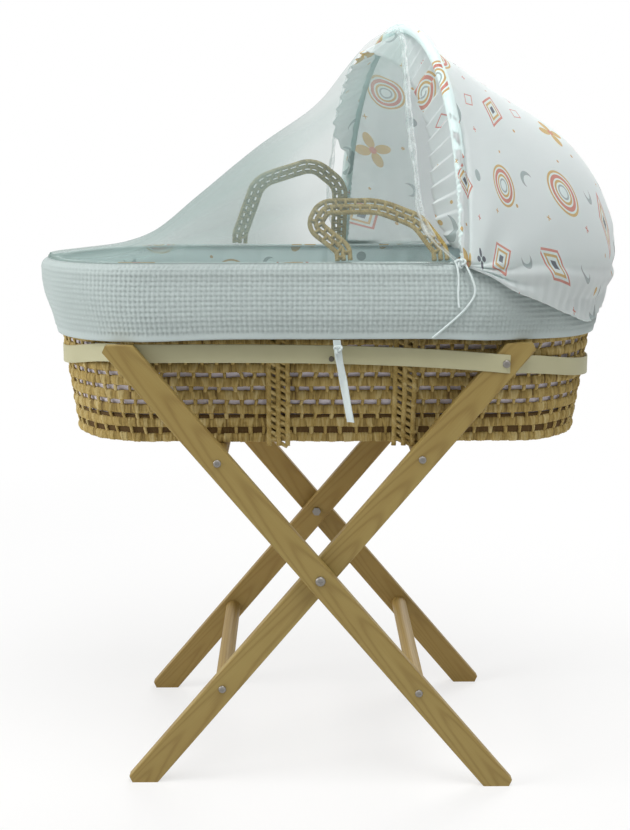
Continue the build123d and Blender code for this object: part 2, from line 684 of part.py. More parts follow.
def main():
    os.makedirs("parts", exist_ok=True)

    save("pivot_bolts", *pivot_row(pivot_bolt, OUTER_Y + RUN_GAP))
    save("pivot_spacers", *pivot_row(spacer, STRAP_Y))
    save("pivot_nuts", *pivot_row(pivot_nut, INNER_IN_Y - RUN_GAP, facing_in=True))

    save("outer_leg_front", leg(-1, -OUTER_Y, STRAP_FOOT_Z))
    save("outer_leg_rear", leg(-1, OUTER_IN_Y, STRAP_FOOT_Z))
    save("outer_upper_rail", rail(-1, UPPER_RAIL_AT, OUTER_IN_Y))
    save("outer_lower_rail", rail(-1, -LOWER_RAIL_AT, OUTER_IN_Y))
    save("outer_rail_screws", *rail_screws(-1, OUTER_Y))
    save("outer_strap_screws", *strap_screws(-1, STRAP_FOOT_Z, -1))

    save("inner_leg_front", leg(1, -INNER_OUT_Y, STRAP_HEAD_Z))
    save("inner_leg_rear", leg(1, INNER_IN_Y, STRAP_HEAD_Z))
    save("inner_upper_rail", rail(1, UPPER_RAIL_AT, INNER_IN_Y))
    save("inner_lower_rail", rail(1, -LOWER_RAIL_AT, INNER_IN_Y))
    save("inner_rail_screws", *rail_screws(1, INNER_OUT_Y))
    save("inner_strap_screws", *strap_screws(1, STRAP_HEAD_Z, 1))

    save("strap", strap())
    save("strap_rivets", *strap_rivets())

    save("basket_wall", basket_wall())
    save("basket_base", basket_base())
    save("basket_rim", basket_rim())
    save("near_band_foot", band(BAND_FOOT_X, NEAR_HANDLE[0][0], -1))
    save("near_band_head", band(BAND_HEAD_X, NEAR_HANDLE[-1][0], -1))
    save("far_band_foot", band(BAND_FOOT_X, FAR_HANDLE[0][0], 1))
    save("far_band_head", band(BAND_HEAD_X, FAR_HANDLE[-1][0], 1))
    save("near_handle", handle(NEAR_HANDLE, NEAR_RADII, NEAR_LEAN, -1))
    save("far_handle", handle(FAR_HANDLE, FAR_RADII, FAR_LEAN, 1))

    save("mattress", mattress())
    save("liner", liner())
    save("skirt", skirt())
    save("skirt_ribbon", ribbon())

    save("hood_hoop", hoop())
    save("hood_frill", frill())
    save("hood_canopy", hood_canopy())
    save("net", net())
    save("net_tie_long", tie(LONG_TIE))
    save("net_tie_short", tie(SHORT_TIE))


if __name__ == "__main__":
    main()
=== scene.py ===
# %% [markdown]
# # A woven bassinet with hood and net on a folding stand
# The stand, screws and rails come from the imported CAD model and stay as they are. The soft
# and woven pieces are modelled here, on the same frame: X runs from the foot end to the head
# end, Y away from the viewer, Z up.

# %% Load the frame
import json
from math import cos, pi, radians, sin, sqrt, tan

import bpy
import numpy as np
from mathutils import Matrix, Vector
from mathutils.kdtree import KDTree


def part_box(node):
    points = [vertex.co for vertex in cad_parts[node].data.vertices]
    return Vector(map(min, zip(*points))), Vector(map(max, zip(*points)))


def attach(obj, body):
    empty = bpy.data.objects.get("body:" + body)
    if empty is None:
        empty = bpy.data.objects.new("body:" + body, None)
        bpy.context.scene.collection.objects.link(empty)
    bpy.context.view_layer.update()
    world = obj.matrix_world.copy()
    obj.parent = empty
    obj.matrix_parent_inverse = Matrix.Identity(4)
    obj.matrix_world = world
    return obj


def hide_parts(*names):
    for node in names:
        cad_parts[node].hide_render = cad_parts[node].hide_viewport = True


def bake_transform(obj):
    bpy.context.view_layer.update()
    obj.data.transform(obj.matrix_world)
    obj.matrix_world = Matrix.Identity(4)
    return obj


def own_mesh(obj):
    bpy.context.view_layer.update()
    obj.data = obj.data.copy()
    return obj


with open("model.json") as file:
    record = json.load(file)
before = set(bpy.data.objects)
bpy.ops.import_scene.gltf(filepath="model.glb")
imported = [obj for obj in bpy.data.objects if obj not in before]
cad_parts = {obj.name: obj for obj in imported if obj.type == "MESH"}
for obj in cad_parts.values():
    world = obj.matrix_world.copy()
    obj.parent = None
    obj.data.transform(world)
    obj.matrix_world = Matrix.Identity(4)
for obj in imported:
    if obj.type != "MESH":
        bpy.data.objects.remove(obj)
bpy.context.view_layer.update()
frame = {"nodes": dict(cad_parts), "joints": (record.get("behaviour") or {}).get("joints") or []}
nodes = frame["nodes"]
MM = 0.001
print("pieces in the frame:", len(nodes))

# %% [markdown]
# The camera stands a little above the rim, straight in front, turned slightly to the head end. Its place was
# worked out from the stand's bolts and feet.

# %% Camera
CAMERA_AT = (-0.0506, -2.1896, 0.9698)
CAMERA_DOWN = 11.208
CAMERA_TURN = -0.770
FOCAL_PIXELS = 1391.4
IMAGE_HIGH = 830
SENSOR = 36.0

camera = bpy.data.objects.new("camera", bpy.data.cameras.new("camera"))
bpy.context.scene.collection.objects.link(camera)
camera.location = CAMERA_AT
camera.rotation_euler = (radians(90 - CAMERA_DOWN), 0, radians(CAMERA_TURN))
camera.data.sensor_width = SENSOR
camera.data.lens = FOCAL_PIXELS * SENSOR / IMAGE_HIGH
bpy.context.scene.camera = camera
print("lens", round(camera.data.lens, 1), "mm")

# %% [markdown]
# Shader sums are easier to read as Python. `Val` wraps one socket, and each operator adds a Math node, so
# that a line such as `0.85 - fibres * 0.25` reads like the sum that it is.


# %% Sockets that add up
class Val:
    """A number that varies over a surface."""

    def __init__(self, finish, socket):
        self.finish = finish
        self.socket = socket

    def math(self, operation, *values):
        inputs = {place: value for place, value in enumerate(values)}
        return self.finish.node("ShaderNodeMath", {"operation": operation}, inputs)

    def __add__(self, other):
        return self.math("ADD", self, other)

    def __sub__(self, other):
        return self.math("SUBTRACT", self, other)

    def __mul__(self, other):
        return self.math("MULTIPLY", self, other)

    def __truediv__(self, other):
        return self.math("DIVIDE", self, other)

    def __pow__(self, other):
        return self.math("POWER", self, other)

    def __lt__(self, other):
        return self.math("LESS_THAN", self, other)

    def __gt__(self, other):
        return self.math("GREATER_THAN", self, other)

    def __rsub__(self, other):
        return self.math("SUBTRACT", other, self)

    def __rtruediv__(self, other):
        return self.math("DIVIDE", other, self)

    def __abs__(self):
        return self.math("ABSOLUTE", self)

    __radd__ = __add__
    __rmul__ = __mul__

    def clip(self):
        return self.math("MINIMUM", self.math("MAXIMUM", self, 0.0), 1.0)


# %% [markdown]
# `Finish` is one material. Its method `node` adds any node, `mix` blends two colours, and `into`
# links a value to the shader. Colours are written as on a screen, and `tone` turns them into the
# linear values that Blender works in.


# %% Materials
def tone(red, green, blue):
    """A colour written as on a screen, 0 to 255, as the linear values that Blender works in."""
    values = []
    for level in (red, green, blue):
        share = level / 255
        values.append(share / 12.92 if share <= 0.04045 else ((share + 0.055) / 1.055) ** 2.4)
    return (*values, 1.0)


class Finish:
    """One material with a Principled shader."""

    def __init__(self, name, constants):
        self.material = bpy.data.materials.new(name)
        self.material.use_nodes = True
        self.tree = self.material.node_tree
        self.shader = self.tree.nodes["Principled BSDF"]
        for socket, value in constants.items():
            self.shader.inputs[socket].default_value = value

    def feed(self, socket, value):
        if isinstance(value, Val):
            self.tree.links.new(value.socket, socket)
        else:
            socket.default_value = value

    def node(self, kind, settings, inputs, out=0):
        made = self.tree.nodes.new(kind)
        for key, value in settings.items():
            if key == "stops":
                for _ in range(len(value) - 2):
                    made.color_ramp.elements.new(0.5)
                for element, (place, colour) in zip(made.color_ramp.elements, value):
                    element.position = place
                    element.color = colour
            else:
                setattr(made, key, value)
        for key, value in inputs.items():
            self.feed(made.inputs[key], value)
        return Val(self, made.outputs[out])

    def mix(self, share, low, high):
        return self.node("ShaderNodeMix", {"data_type": "RGBA"}, {0: share, 6: low, 7: high}, 2)

    def scaled(self, source, scale):
        return self.node("ShaderNodeVectorMath", {"operation": "MULTIPLY"}, {0: source, 1: scale})

    def noise(self, where, scale, detail=3.0):
        return self.node("ShaderNodeTexNoise", {}, {"Vector": where, "Scale": scale, "Detail": detail})

    def place(self):
        return self.node("ShaderNodeTexCoord", {}, {}, "Object")

    def cloth_map(self):
        return self.node("ShaderNodeUVMap", {"uv_map": "cloth"}, {})

    def tint(self):
        return self.node("ShaderNodeAttribute", {"attribute_name": "tint"}, {}, "Fac")

    def parts_of(self, vector):
        split = self.node("ShaderNodeSeparateXYZ", {}, {"Vector": vector})
        outputs = split.socket.node.outputs
        return [Val(self, outputs[axis]) for axis in range(3)]

    def ramp(self, value, stops):
        return self.node("ShaderNodeValToRGB", {"stops": stops}, {"Fac": value})

    def into(self, socket, value):
        self.feed(self.shader.inputs[socket], value)

    def bump(self, height, distance, strength):
        inputs = {"Height": height, "Distance": distance, "Strength": strength}
        self.into("Normal", self.node("ShaderNodeBump", {}, inputs))


# %% [markdown]
# Meshes here are grids of points worked out with numpy. `Surface` gathers many grids into one mesh, with a
# map called `cloth` in metres and a value called `tint` that lets each strand have its own shade and holds
# painted shade for grooves and wedges.


# %% Grids into meshes
class Surface:
    def __init__(self):
        self.points = []
        self.quads = []
        self.corner_maps = []
        self.tints = []
        self.count = 0

    def add(self, grid, wrap, flat, tint=0.0):
        """Adds one grid (rows, columns, 3), or many copies (copies, rows, columns, 3)."""
        grid = np.asarray(grid, float)
        if grid.ndim == 3:
            grid = grid[None]
        copies, rows, cols, _ = grid.shape
        i, j = np.meshgrid(np.arange(rows - 1 + wrap[0]), np.arange(cols - 1 + wrap[1]), indexing="ij")
        corners_i = np.stack([i, i + 1, i + 1, i], -1)
        corners_j = np.stack([j, j, j + 1, j + 1], -1)
        quads = (corners_i % rows) * cols + corners_j % cols
        quads = quads.reshape(-1, 4)
        steps = self.count + np.arange(copies)[:, None, None] * rows * cols
        self.quads.append((quads[None] + steps).reshape(-1, 4))
        corner_map = np.asarray(flat, float)[corners_i, corners_j].reshape(-1, 4, 2)
        self.corner_maps.append(np.tile(corner_map, (copies, 1, 1)))
        self.points.append(grid.reshape(-1, 3))
        self.tints.append(np.broadcast_to(tint, (copies, rows, cols)).reshape(-1))
        self.count += copies * rows * cols
        return self

    def sheet(self, grid, thick, flat, wrap_rows=False, tint=0.0):
        """A grid with thickness: the cloth, its back and its edges."""
        inner = grid - normals_of(grid, wrap_rows) * thick
        both = np.concatenate([grid, inner[:, ::-1]], 1)
        maps = np.concatenate([flat, flat[:, ::-1], flat[:, :1]], 1)
        shades = np.broadcast_to(tint, grid.shape[:2])
        shades = np.concatenate([shades, shades[:, ::-1]], 1)
        self.add(both, (wrap_rows, True), maps, shades)
        if not wrap_rows:
            for row, turn in ((0, 1), (-1, -1)):
                edge = np.stack([grid[row], inner[row]], 0)[::turn]
                edge_map = np.stack([flat[row], flat[row]], 0)
                self.add(edge[:, ::-1], (False, False), edge_map[:, ::-1])
        return self

    def build(self, name, finish, body=None):
        mesh = bpy.data.meshes.new(name)
        points = np.concatenate(self.points)
        quads = np.concatenate(self.quads)
        mesh.vertices.add(len(points))
        mesh.vertices.foreach_set("co", points.ravel())
        mesh.loops.add(quads.size)
        mesh.loops.foreach_set("vertex_index", quads.ravel().astype(np.int32))
        mesh.polygons.add(len(quads))
        mesh.polygons.foreach_set("loop_start", np.arange(0, quads.size, 4, dtype=np.int32))
        mesh.polygons.foreach_set("use_smooth", np.ones(len(quads), bool))
        layer = mesh.uv_layers.new(name="cloth")
        layer.data.foreach_set("uv", np.concatenate(self.corner_maps).ravel().astype(np.float32))
        shade = mesh.attributes.new("tint", "FLOAT", "POINT")
        shade.data.foreach_set("value", np.concatenate(self.tints).astype(np.float32))
        mesh.update()
        mesh.validate()
        mesh.materials.append(finish.material)
        piece = bpy.data.objects.new(name, mesh)
        bpy.context.scene.collection.objects.link(piece)
        if body:
            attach(piece, body)
        print(name, len(points), "points")
        return piece


# %% [markdown]
# A few sums come back in many pieces: the normals of a grid, smooth noise for folds and creases, lengths
# along a line, and a curve through a few measured points. They are written once.


# %% Sums for grids and lines
def normals_of(grid, wrap_rows=False):
    """Unit normals of a grid, from the steps to the neighbouring points."""
    if wrap_rows:
        along = np.roll(grid, -1, 0) - np.roll(grid, 1, 0)
    else:
        along = np.gradient(grid, axis=0)
    across = np.gradient(grid, axis=1)
    normal = np.cross(along, across)
    return normal / np.maximum(np.linalg.norm(normal, axis=-1, keepdims=True), 1e-9)


def ripple(seed, *axes):
    """Smooth repeatable noise, about -1 to 1, as a sum of a few waves over the given coordinates."""
    draw = np.random.default_rng(seed)
    total = 0.0
    for _ in range(7):
        phase = draw.uniform(0, 2 * pi)
        for axis in axes:
            phase = phase + axis * draw.uniform(-1.6, 1.6)
        total = total + np.sin(phase)
    return total / 3.5


def unit(vectors):
    """Vectors brought to length 1."""
    return vectors / np.linalg.norm(vectors, axis=-1, keepdims=True)


def run_along(points):
    """Length along a line at each of its points."""
    return np.concatenate([[0], np.cumsum(np.linalg.norm(np.diff(points, axis=0), axis=1))])


def points_at(at, run, points):
    """Points of a line at the given lengths along it."""
    return np.stack([np.interp(at, run, points[:, axis]) for axis in range(points.shape[1])], 1)


def flat_map(along, across):
    """The cloth map of a grid, from lengths along and across it."""
    return np.stack(np.meshgrid(along, across, indexing="ij"), -1)


def ease(value):
    """Smooth step from 0 to 1."""
    share = np.clip(value, 0, 1)
    return share * share * (3 - 2 * share)


def smooth_through(xs, ys, at):
    """A smooth curve through a few points that doesn't overshoot between them."""
    xs, ys, at = (np.asarray(v, float) for v in (xs, ys, at))
    slopes = np.diff(ys) / np.diff(xs)
    tangents = np.concatenate([[slopes[0]], (slopes[:-1] + slopes[1:]) / 2, [slopes[-1]]])
    turning = np.concatenate([[False], slopes[:-1] * slopes[1:] <= 0, [False]])
    tangents[turning] = 0.0
    place = np.clip(np.searchsorted(xs, at) - 1, 0, len(xs) - 2)
    step = (xs[1:] - xs[:-1])[place]
    t = np.clip((at - xs[place]) / step, 0, 1)
    low = ys[place] * (1 + 2 * t) * (1 - t) ** 2 + tangents[place] * step * t * (1 - t) ** 2
    return low + ys[place + 1] * t * t * (3 - 2 * t) + tangents[place + 1] * step * t * t * (t - 1)


# %% [markdown]
# The outlines of the basket are long ovals. `oval` spaces its points evenly round one, starting
# in the middle of the far side so that the seam of every map lies at the back. `tube` sweeps a
# round or flat section along a path.

# %% Ovals and tubes
wall_low, wall_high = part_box("basket_wall")
base_low, base_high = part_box("basket_base")
MIDDLE_X = (wall_low.x + wall_high.x) / 2
BASE_Z = wall_low.z
WALL_TOP = wall_high.z
WALL_DEEP = 9 * MM
BASE_IN_X = 36 * MM
BASE_IN_Y = 52 * MM
TOP_A = (wall_high.x - wall_low.x) / 2
TOP_B = wall_high.y
BASE_A = TOP_A - BASE_IN_X
BASE_B = TOP_B - BASE_IN_Y
FOOT_DIP = 2.5 * MM
DIP_FROM_X = -0.24
DIP_LONG = 0.18


def foot_dip(x):
    """How far the soft edge sags at the foot end."""
    return FOOT_DIP * ease((DIP_FROM_X - x) / DIP_LONG)


def wall_half(z):
    """Half length and half width of the woven wall at a height."""
    share = (z - BASE_Z) / (WALL_TOP - BASE_Z)
    return BASE_A + (TOP_A - BASE_A) * share, BASE_B + (TOP_B - BASE_B) * share


def oval(a, b, foot, head, count):
    """Evenly spaced points, outward directions and the length of a rounded outline."""
    quarter = np.linspace(0, pi / 2, 60)
    corners = [(-a + foot, b - foot, foot, 90), (-a + foot, -b + foot, foot, 180)]
    corners += [(a - head, -b + head, head, 270), (a - head, b - head, head, 0)]
    points = [np.array([[0, b]])]
    for x, y, radius, first in corners:
        turn = radians(first) + quarter
        points.append(np.stack([x + radius * np.cos(turn), y + radius * np.sin(turn)], 1))
    points = np.concatenate(points + [points[0]])
    run = run_along(points)
    at = np.arange(count) / count * run[-1]
    spots = points_at(at, run, points)
    along = unit(np.roll(spots, -1, 0) - np.roll(spots, 1, 0))
    outward = np.stack([along[:, 1], -along[:, 0]], 1)
    return spots + [MIDDLE_X, 0], outward, run[-1]


def lifted(plan, z):
    """Plan points (n, 2) at a height as points in space."""
    return np.concatenate([plan, np.broadcast_to(z, (len(plan), 1))], 1)


def oval_ring(a, b, foot, head, count, z):
    """Evenly spaced points of a rounded outline at a height."""
    return lifted(oval(a, b, foot, head, count)[0], z)


def tube(path, outward, half_out, half_side, sides):
    """Rings round a path, closed at both ends; outward says which way the section's first direction looks."""
    path = np.asarray(path, float)
    along = unit(np.gradient(path, axis=0))
    outward = np.broadcast_to(outward, path.shape)
    outward = unit(outward - along * np.sum(outward * along, 1, keepdims=True))
    side = np.cross(along, outward)
    turn = np.arange(sides) * 2 * pi / sides
    half_out = np.broadcast_to(np.asarray(half_out, float), (len(path), sides))
    half_side = np.broadcast_to(np.asarray(half_side, float), (len(path), sides))
    ring = outward[:, None] * (half_out * np.cos(turn))[..., None]
    ring = ring + side[:, None] * (half_side * np.sin(turn))[..., None]
    caps = [np.repeat(path[k][None, None], sides, 1) for k in (0, -1)]
    return np.concatenate([caps[0], path[:, None] + ring, caps[1]])


def tube_map(path, sides, around):
    """The cloth map of a tube: length along it, and length round it."""
    run = run_along(path)
    return flat_map(np.concatenate([run[:1], run, run[-1:]]), np.linspace(0, around, sides + 1))


print("wall", round(2 * TOP_A, 3), "by", round(2 * TOP_B, 3), "m at the top")

# %% [markdown]
# ## Finishes
# Straw is palm leaf or maize husk twisted round a core: each strand has its own shade, with
# fibres along it. The fibres come from noise that is stretched along the strand in the cloth map,
# the shades from the `tint` value, which also holds painted shade in the grooves and wedges between strands.

# %% Straw
STRAW_PALE = tone(198, 181, 130)
STRAW_MID = tone(169, 145, 84)
STRAW_DARK = tone(84, 62, 28)
STRAW_STOPS = [(0.0, STRAW_DARK), (0.46, STRAW_MID), (0.9, STRAW_PALE)]


def straw_finish(name, fibre_scale):
    finish = Finish(name, {"Specular IOR Level": 0.25})
    fibres = finish.noise(finish.scaled(finish.cloth_map(), fibre_scale), 1.0, 4.0)
    patches = finish.noise(finish.place(), 22.0, 2.0)
    level = (finish.tint() * 0.30 + fibres * 0.5 + patches * 0.34 + 0.12).clip()
    finish.into("Base Color", finish.ramp(level, STRAW_STOPS))
    finish.into("Roughness", 0.85 - fibres * 0.25)
    finish.bump(fibres, 0.8 * MM, 0.7)
    return finish


straw = straw_finish("straw", (950.0, 90.0, 1.0))
straw_cord = straw_finish("straw_cord", (700.0, 240.0, 1.0))
print("straw finishes ready")

# %% [markdown]
# Pine has long grain: darker late-wood lines that run along the board and close in long arches where the saw
# left the heart of the tree. Each line is a ring round that heart, which slopes a little against the leg.
# The legs lean both ways, so the place is turned by the leaning angle first.

# %% Pine
LEG_ANGLE = 40.0
STAND_X = -0.016
PIVOT_Z = 0.328
RING_STEP = 3.8 * MM
HEART_ASIDE = 6 * MM
HEART_DEEP = 30 * MM
HEART_SLOPE = 0.045
HEART_FROM_Z = 0.25
SIDE_WANDER = 30 * MM
DEEP_WANDER = 20 * MM
PINE_PALE = tone(171, 152, 91)
PINE_MID = tone(153, 129, 70)
PINE_LINE = tone(114, 86, 40)
PINE_REAR_TONE = tone(148, 113, 55)


def pine_finish(name, lean, axis="Y_AXIS"):
    finish = Finish(name, {"Specular IOR Level": 0.35, "Coat Weight": 0.08, "Coat Roughness": 0.35})
    turned = finish.node("ShaderNodeVectorRotate", {"rotation_type": axis},
                         {"Vector": finish.place(), "Angle": radians(-lean)})
    slow = finish.noise(finish.scaled(turned, (12.0, 12.0, 2.2)), 1.0, 2.0)
    x, y, z = finish.parts_of(turned)
    middle = STAND_X * cos(radians(lean)) - PIVOT_Z * sin(radians(lean)) if axis == "Y_AXIS" else 0.0
    fine = finish.noise(finish.scaled(turned, (900.0, 900.0, 14.0)), 1.0, 3.0)
    side = x - middle - HEART_ASIDE + (slow - 0.5) * SIDE_WANDER
    deep = HEART_DEEP + (z - HEART_FROM_Z) * HEART_SLOPE + (slow - 0.5) * DEEP_WANDER
    heart = (side * side + deep * deep) ** 0.5
    ring_turn = heart * (2 * pi / RING_STEP) + fine * 1.4
    lines = ((ring_turn.math("SINE", ring_turn) + 1) * 0.5) ** 3
    broad = finish.noise(finish.scaled(turned, (34.0, 14.0, 3.0)), 1.0, 2.0)
    ground = finish.mix(broad, PINE_PALE, PINE_MID)
    grained = finish.mix((lines * 0.3 + fine * 0.3).clip(), ground, PINE_LINE)
    # The wood turns darker and more orange towards the rear, along +Y
    rear = (y * 5 + 0.35).clip()
    finish.into("Base Color", finish.mix(rear * 0.3, grained, PINE_REAR_TONE))
    finish.into("Roughness", 0.48 + fine * 0.2)
    finish.bump(lines * 0.5 + fine, 0.25 * MM, 0.4)
    return finish


pine_outer = pine_finish("pine_outer", -LEG_ANGLE)
pine_inner = pine_finish("pine_inner", LEG_ANGLE)
pine_rail = pine_finish("pine_rail", 90.0, "X_AXIS")
print("pine finishes ready")

# %% [markdown]
# The screws are zinc-plated steel: bright, with fine scratches that change the roughness.

# %% Steel
steel = Finish("zinc_steel", {"Metallic": 1.0, "Base Color": tone(142, 139, 134)})
scratches = steel.noise(steel.scaled(steel.place(), (900.0, 900.0, 300.0)), 1.0, 4.0)
steel.into("Roughness", 0.28 + scratches * 0.3)
steel.bump(scratches, 0.1 * MM, 0.3)

rivet_steel = Finish("rivet_steel", {"Metallic": 1.0, "Base Color": tone(96, 92, 84)})
rivet_steel.into("Roughness", 0.35 + rivet_steel.noise(rivet_steel.place(), 900.0) * 0.3)
print("steel finishes ready")

# %% [markdown]
# White cloth is never one flat white. The plain finish mixes two cool whites with a fine plain weave; the
# strap is a tight cream tape; the waffle cloth gets its cells in the mesh, and the finish only adds threads.

# %% Cloth
CLOTH_WHITE = tone(222, 233, 231)
CLOTH_COOL = tone(206, 217, 217)


def weave(finish, threads):
    """Height of a plain weave with so many threads to the metre."""
    u, v, _ = finish.parts_of(finish.cloth_map())
    warp, weft = (part.math("SINE", part * (threads * 2 * pi)) for part in (u, v))
    return warp * weft * 0.5 + 0.5


def cloth_finish(name, pale, deep, threads, rough):
    finish = Finish(name, {"Specular IOR Level": 0.2, "Sheen Weight": 0.15, "Sheen Roughness": 0.5})
    height = weave(finish, threads)
    clouds = finish.noise(finish.place(), 16.0, 3.0)
    finish.into("Base Color", finish.mix((clouds * 0.7 + height * 0.3).clip(), deep, pale))
    finish.into("Roughness", rough + height * 0.1)
    finish.bump(height, 0.15 * MM, 0.5)
    return finish


plain_white = cloth_finish("plain_white", CLOTH_WHITE, CLOTH_COOL, 1400.0, 0.8)
waffle = cloth_finish("waffle", tone(192, 203, 201), tone(176, 188, 186), 900.0, 0.85)
cream_tape = cloth_finish("cream_tape", tone(194, 191, 157), tone(180, 176, 140), 1500.0, 0.55)
back_cloth = cloth_finish("back_cloth", tone(240, 234, 242), tone(226, 220, 232), 1200.0, 0.85)
print("plain cloths ready")

# %% [markdown]
# The printed cloth carries a small generic pattern: rings, petals, diamonds, crescents, crosses and
# dots in mustard, terracotta, grey and slate. Every cell of a half-drop grid draws its own choice
# from white noise, so no image is needed. Each motif is a distance compared with a size, and its
# soft edge is one line of sums.

# %% Motifs
PRINT_CELL = 116 * MM
MUSTARD = tone(196, 160, 92)
TERRACOTTA = tone(198, 122, 106)
GREY = tone(158, 172, 172)
SLATE = tone(84, 88, 98)
EDGE = 0.5 * MM
INK_STRENGTH = 0.92


def inside(distance):
    """1 where a signed distance in metres is inside the motif, with a soft edge."""
    return (0.5 - distance / EDGE).clip()


class Print:
    """One layer of the pattern: local coordinates round a spot in every cell, with three random values."""

    def __init__(self, finish, shift, seed, jitter):
        self.finish = finish
        u, v, _ = finish.parts_of(finish.cloth_map())
        column = self.floor(u / PRINT_CELL)
        v = v + column * (PRINT_CELL * 0.5)
        row = self.floor(v / PRINT_CELL)
        key = finish.node("ShaderNodeCombineXYZ", {}, {"X": column, "Y": row, "Z": seed})
        draw = finish.node("ShaderNodeTexWhiteNoise", {"noise_dimensions": "3D"}, {"Vector": key}, "Color")
        self.draws = finish.parts_of(draw)
        at_u = u / PRINT_CELL - column - shift[0] + (self.draws[0] - 0.5) * jitter
        at_v = v / PRINT_CELL - row - shift[1] + (self.draws[1] - 0.5) * jitter
        turn = self.draws[2] * (2 * pi)
        cosine, sine = turn.math("COSINE", turn), turn.math("SINE", turn)
        self.x = (at_u * cosine + at_v * sine) * PRINT_CELL
        self.y = (at_v * cosine - at_u * sine) * PRINT_CELL

    def floor(self, value):
        return value.math("FLOOR", value)

    def larger(self, first, second):
        return first.math("MAXIMUM", first, second)

    def length(self, x, y):
        return (x * x + y * y) ** 0.5

    def disc(self, radius, x=0.0, y=0.0):
        return self.length(self.x - x, self.y - y) - radius

    def ring(self, radius, width):
        return abs(self.disc(radius)) - width / 2

    def diamond(self, half):
        return abs(self.x) * 0.75 + abs(self.y) * 0.5 - half * 0.5

    def crescent(self, radius):
        return self.larger(self.disc(radius), -1 * self.disc(radius * 0.86, radius * 0.45))

    def cross(self, half, width):
        upright = self.larger(abs(self.x) - width, abs(self.y) - half)
        level = self.larger(abs(self.y) - width, abs(self.x) - half)
        return upright.math("MINIMUM", upright, level)

    def petals(self, radius, spread):
        ax, ay = abs(self.x), abs(self.y)
        first = self.length((ax - spread) * 0.62, ay) - radius
        second = self.length(ax, (ay - spread) * 0.62) - radius
        return first.math("MINIMUM", first, second)

    def chosen(self, low, high):
        return (self.draws[0] > low) * (self.draws[0] < high)


# %% [markdown]
# Four layers lie over each other, from large motifs to tiny dots. A motif shows where its layer's first
# random value falls in its range, so that no cell gets two choices of one layer. A little light goes through
# the cloth, which lets the hood glow when it is lit from behind.


# %% Printed cloth
def printed_finish(name, pale, deep):
    finish = Finish(name, {
        "Specular IOR Level": 0.2, "Sheen Weight": 0.12, "Sheen Roughness": 0.5,
        "Subsurface Weight": 0.9, "Subsurface Radius": (1.0, 1.0, 1.0), "Subsurface Scale": 6 * MM,
    })
    height = weave(finish, 1500.0)
    clouds = finish.noise(finish.place(), 14.0, 3.0)
    colour = finish.mix((clouds * 0.8 + height * 0.2).clip(), deep, pale)
    large = Print(finish, (0.30, 0.30), 1.0, 0.12)
    medium = Print(finish, (0.76, 0.62), 7.0, 0.14)
    small = Print(finish, (0.70, 0.16), 13.0, 0.20)
    tiny = Print(finish, (0.22, 0.80), 21.0, 0.24)
    # Layer, range of its first draw, signed distance, colour
    inks = [
        (large, 0.0, 0.3, large.ring(27 * MM, 3.2 * MM), MUSTARD),
        (large, 0.0, 0.3, large.ring(20.4 * MM, 5.0 * MM), TERRACOTTA),
        (large, 0.0, 0.3, large.ring(14 * MM, 3.2 * MM), MUSTARD),
        (large, 0.0, 0.3, large.ring(8.4 * MM, 2.6 * MM), GREY),
        (large, 0.3, 0.52, large.petals(7.6 * MM, 15 * MM), MUSTARD),
        (large, 0.3, 0.52, large.disc(5.4 * MM), TERRACOTTA),
        (large, 0.52, 0.74, large.crescent(23 * MM), GREY),
        (large, 0.52, 0.74, large.disc(4.6 * MM, 15 * MM), MUSTARD),
        (large, 0.74, 1.0, abs(large.diamond(32 * MM)) - 1.5 * MM, TERRACOTTA),
        (large, 0.74, 1.0, abs(large.diamond(20 * MM)) - 1.5 * MM, MUSTARD),
        (large, 0.74, 1.0, large.diamond(9 * MM), SLATE),
        (medium, 0.0, 0.36, medium.crescent(11 * MM), GREY),
        (medium, 0.36, 0.62, medium.petals(3.8 * MM, 8.2 * MM), SLATE),
        (medium, 0.62, 0.8, abs(medium.diamond(15 * MM)) - 0.8 * MM, TERRACOTTA),
        (medium, 0.8, 1.0, medium.disc(8 * MM), GREY),
        (small, 0.0, 0.6, small.cross(4.2 * MM, 0.9 * MM), TERRACOTTA),
        (small, 0.6, 1.0, small.disc(2.6 * MM), MUSTARD),
        (tiny, 0.0, 0.5, tiny.disc(2.1 * MM), MUSTARD),
        (tiny, 0.5, 1.0, tiny.cross(3.6 * MM, 0.8 * MM), MUSTARD),
    ]
    for layer, low, high, distance, ink in inks:
        colour = finish.mix(inside(distance) * layer.chosen(low, high) * INK_STRENGTH, colour, ink)
    finish.into("Base Color", colour)
    finish.into("Roughness", 0.78 + height * 0.1)
    finish.bump(height, 0.12 * MM, 0.45)
    return finish


printed = printed_finish("printed_cloth", tone(231, 248, 246), tone(219, 239, 237))
print("printed cloth ready:", len(printed.tree.nodes), "nodes")

# %% [markdown]
# The net is so fine that single threads can't be seen. It shows as a pale veil, denser where the cloth is
# doubled or gathered, so its opacity is the `tint` value of the mesh plus a faint thread pattern.

# %% Net and lace
net_finish = Finish("net", {"Base Color": tone(153, 174, 169), "Roughness": 0.9, "Specular IOR Level": 0.1})
threads = net_finish.noise(net_finish.scaled(net_finish.cloth_map(), (900.0, 900.0, 1.0)), 1.0, 2.0)
net_finish.into("Alpha", (net_finish.tint() + (threads - 0.5) * 0.12).clip())

lace_finish = Finish("lace", {"Base Color": tone(226, 236, 235), "Roughness": 0.9, "Specular IOR Level": 0.1})
holes = lace_finish.noise(lace_finish.scaled(lace_finish.cloth_map(), (420.0, 420.0, 1.0)), 1.0, 1.0)
lace_finish.into("Alpha", (lace_finish.tint() + (holes - 0.5) * 0.5).clip())
print("net finishes ready")

# %% [markdown]
# ## Stand
# Legs, rails and fasteners are real joinery, so the CAD solids show, with pine and steel on them.


# %% Stand
def dress(name, finish):
    nodes[name].data.materials.clear()
    nodes[name].data.materials.append(finish.material)


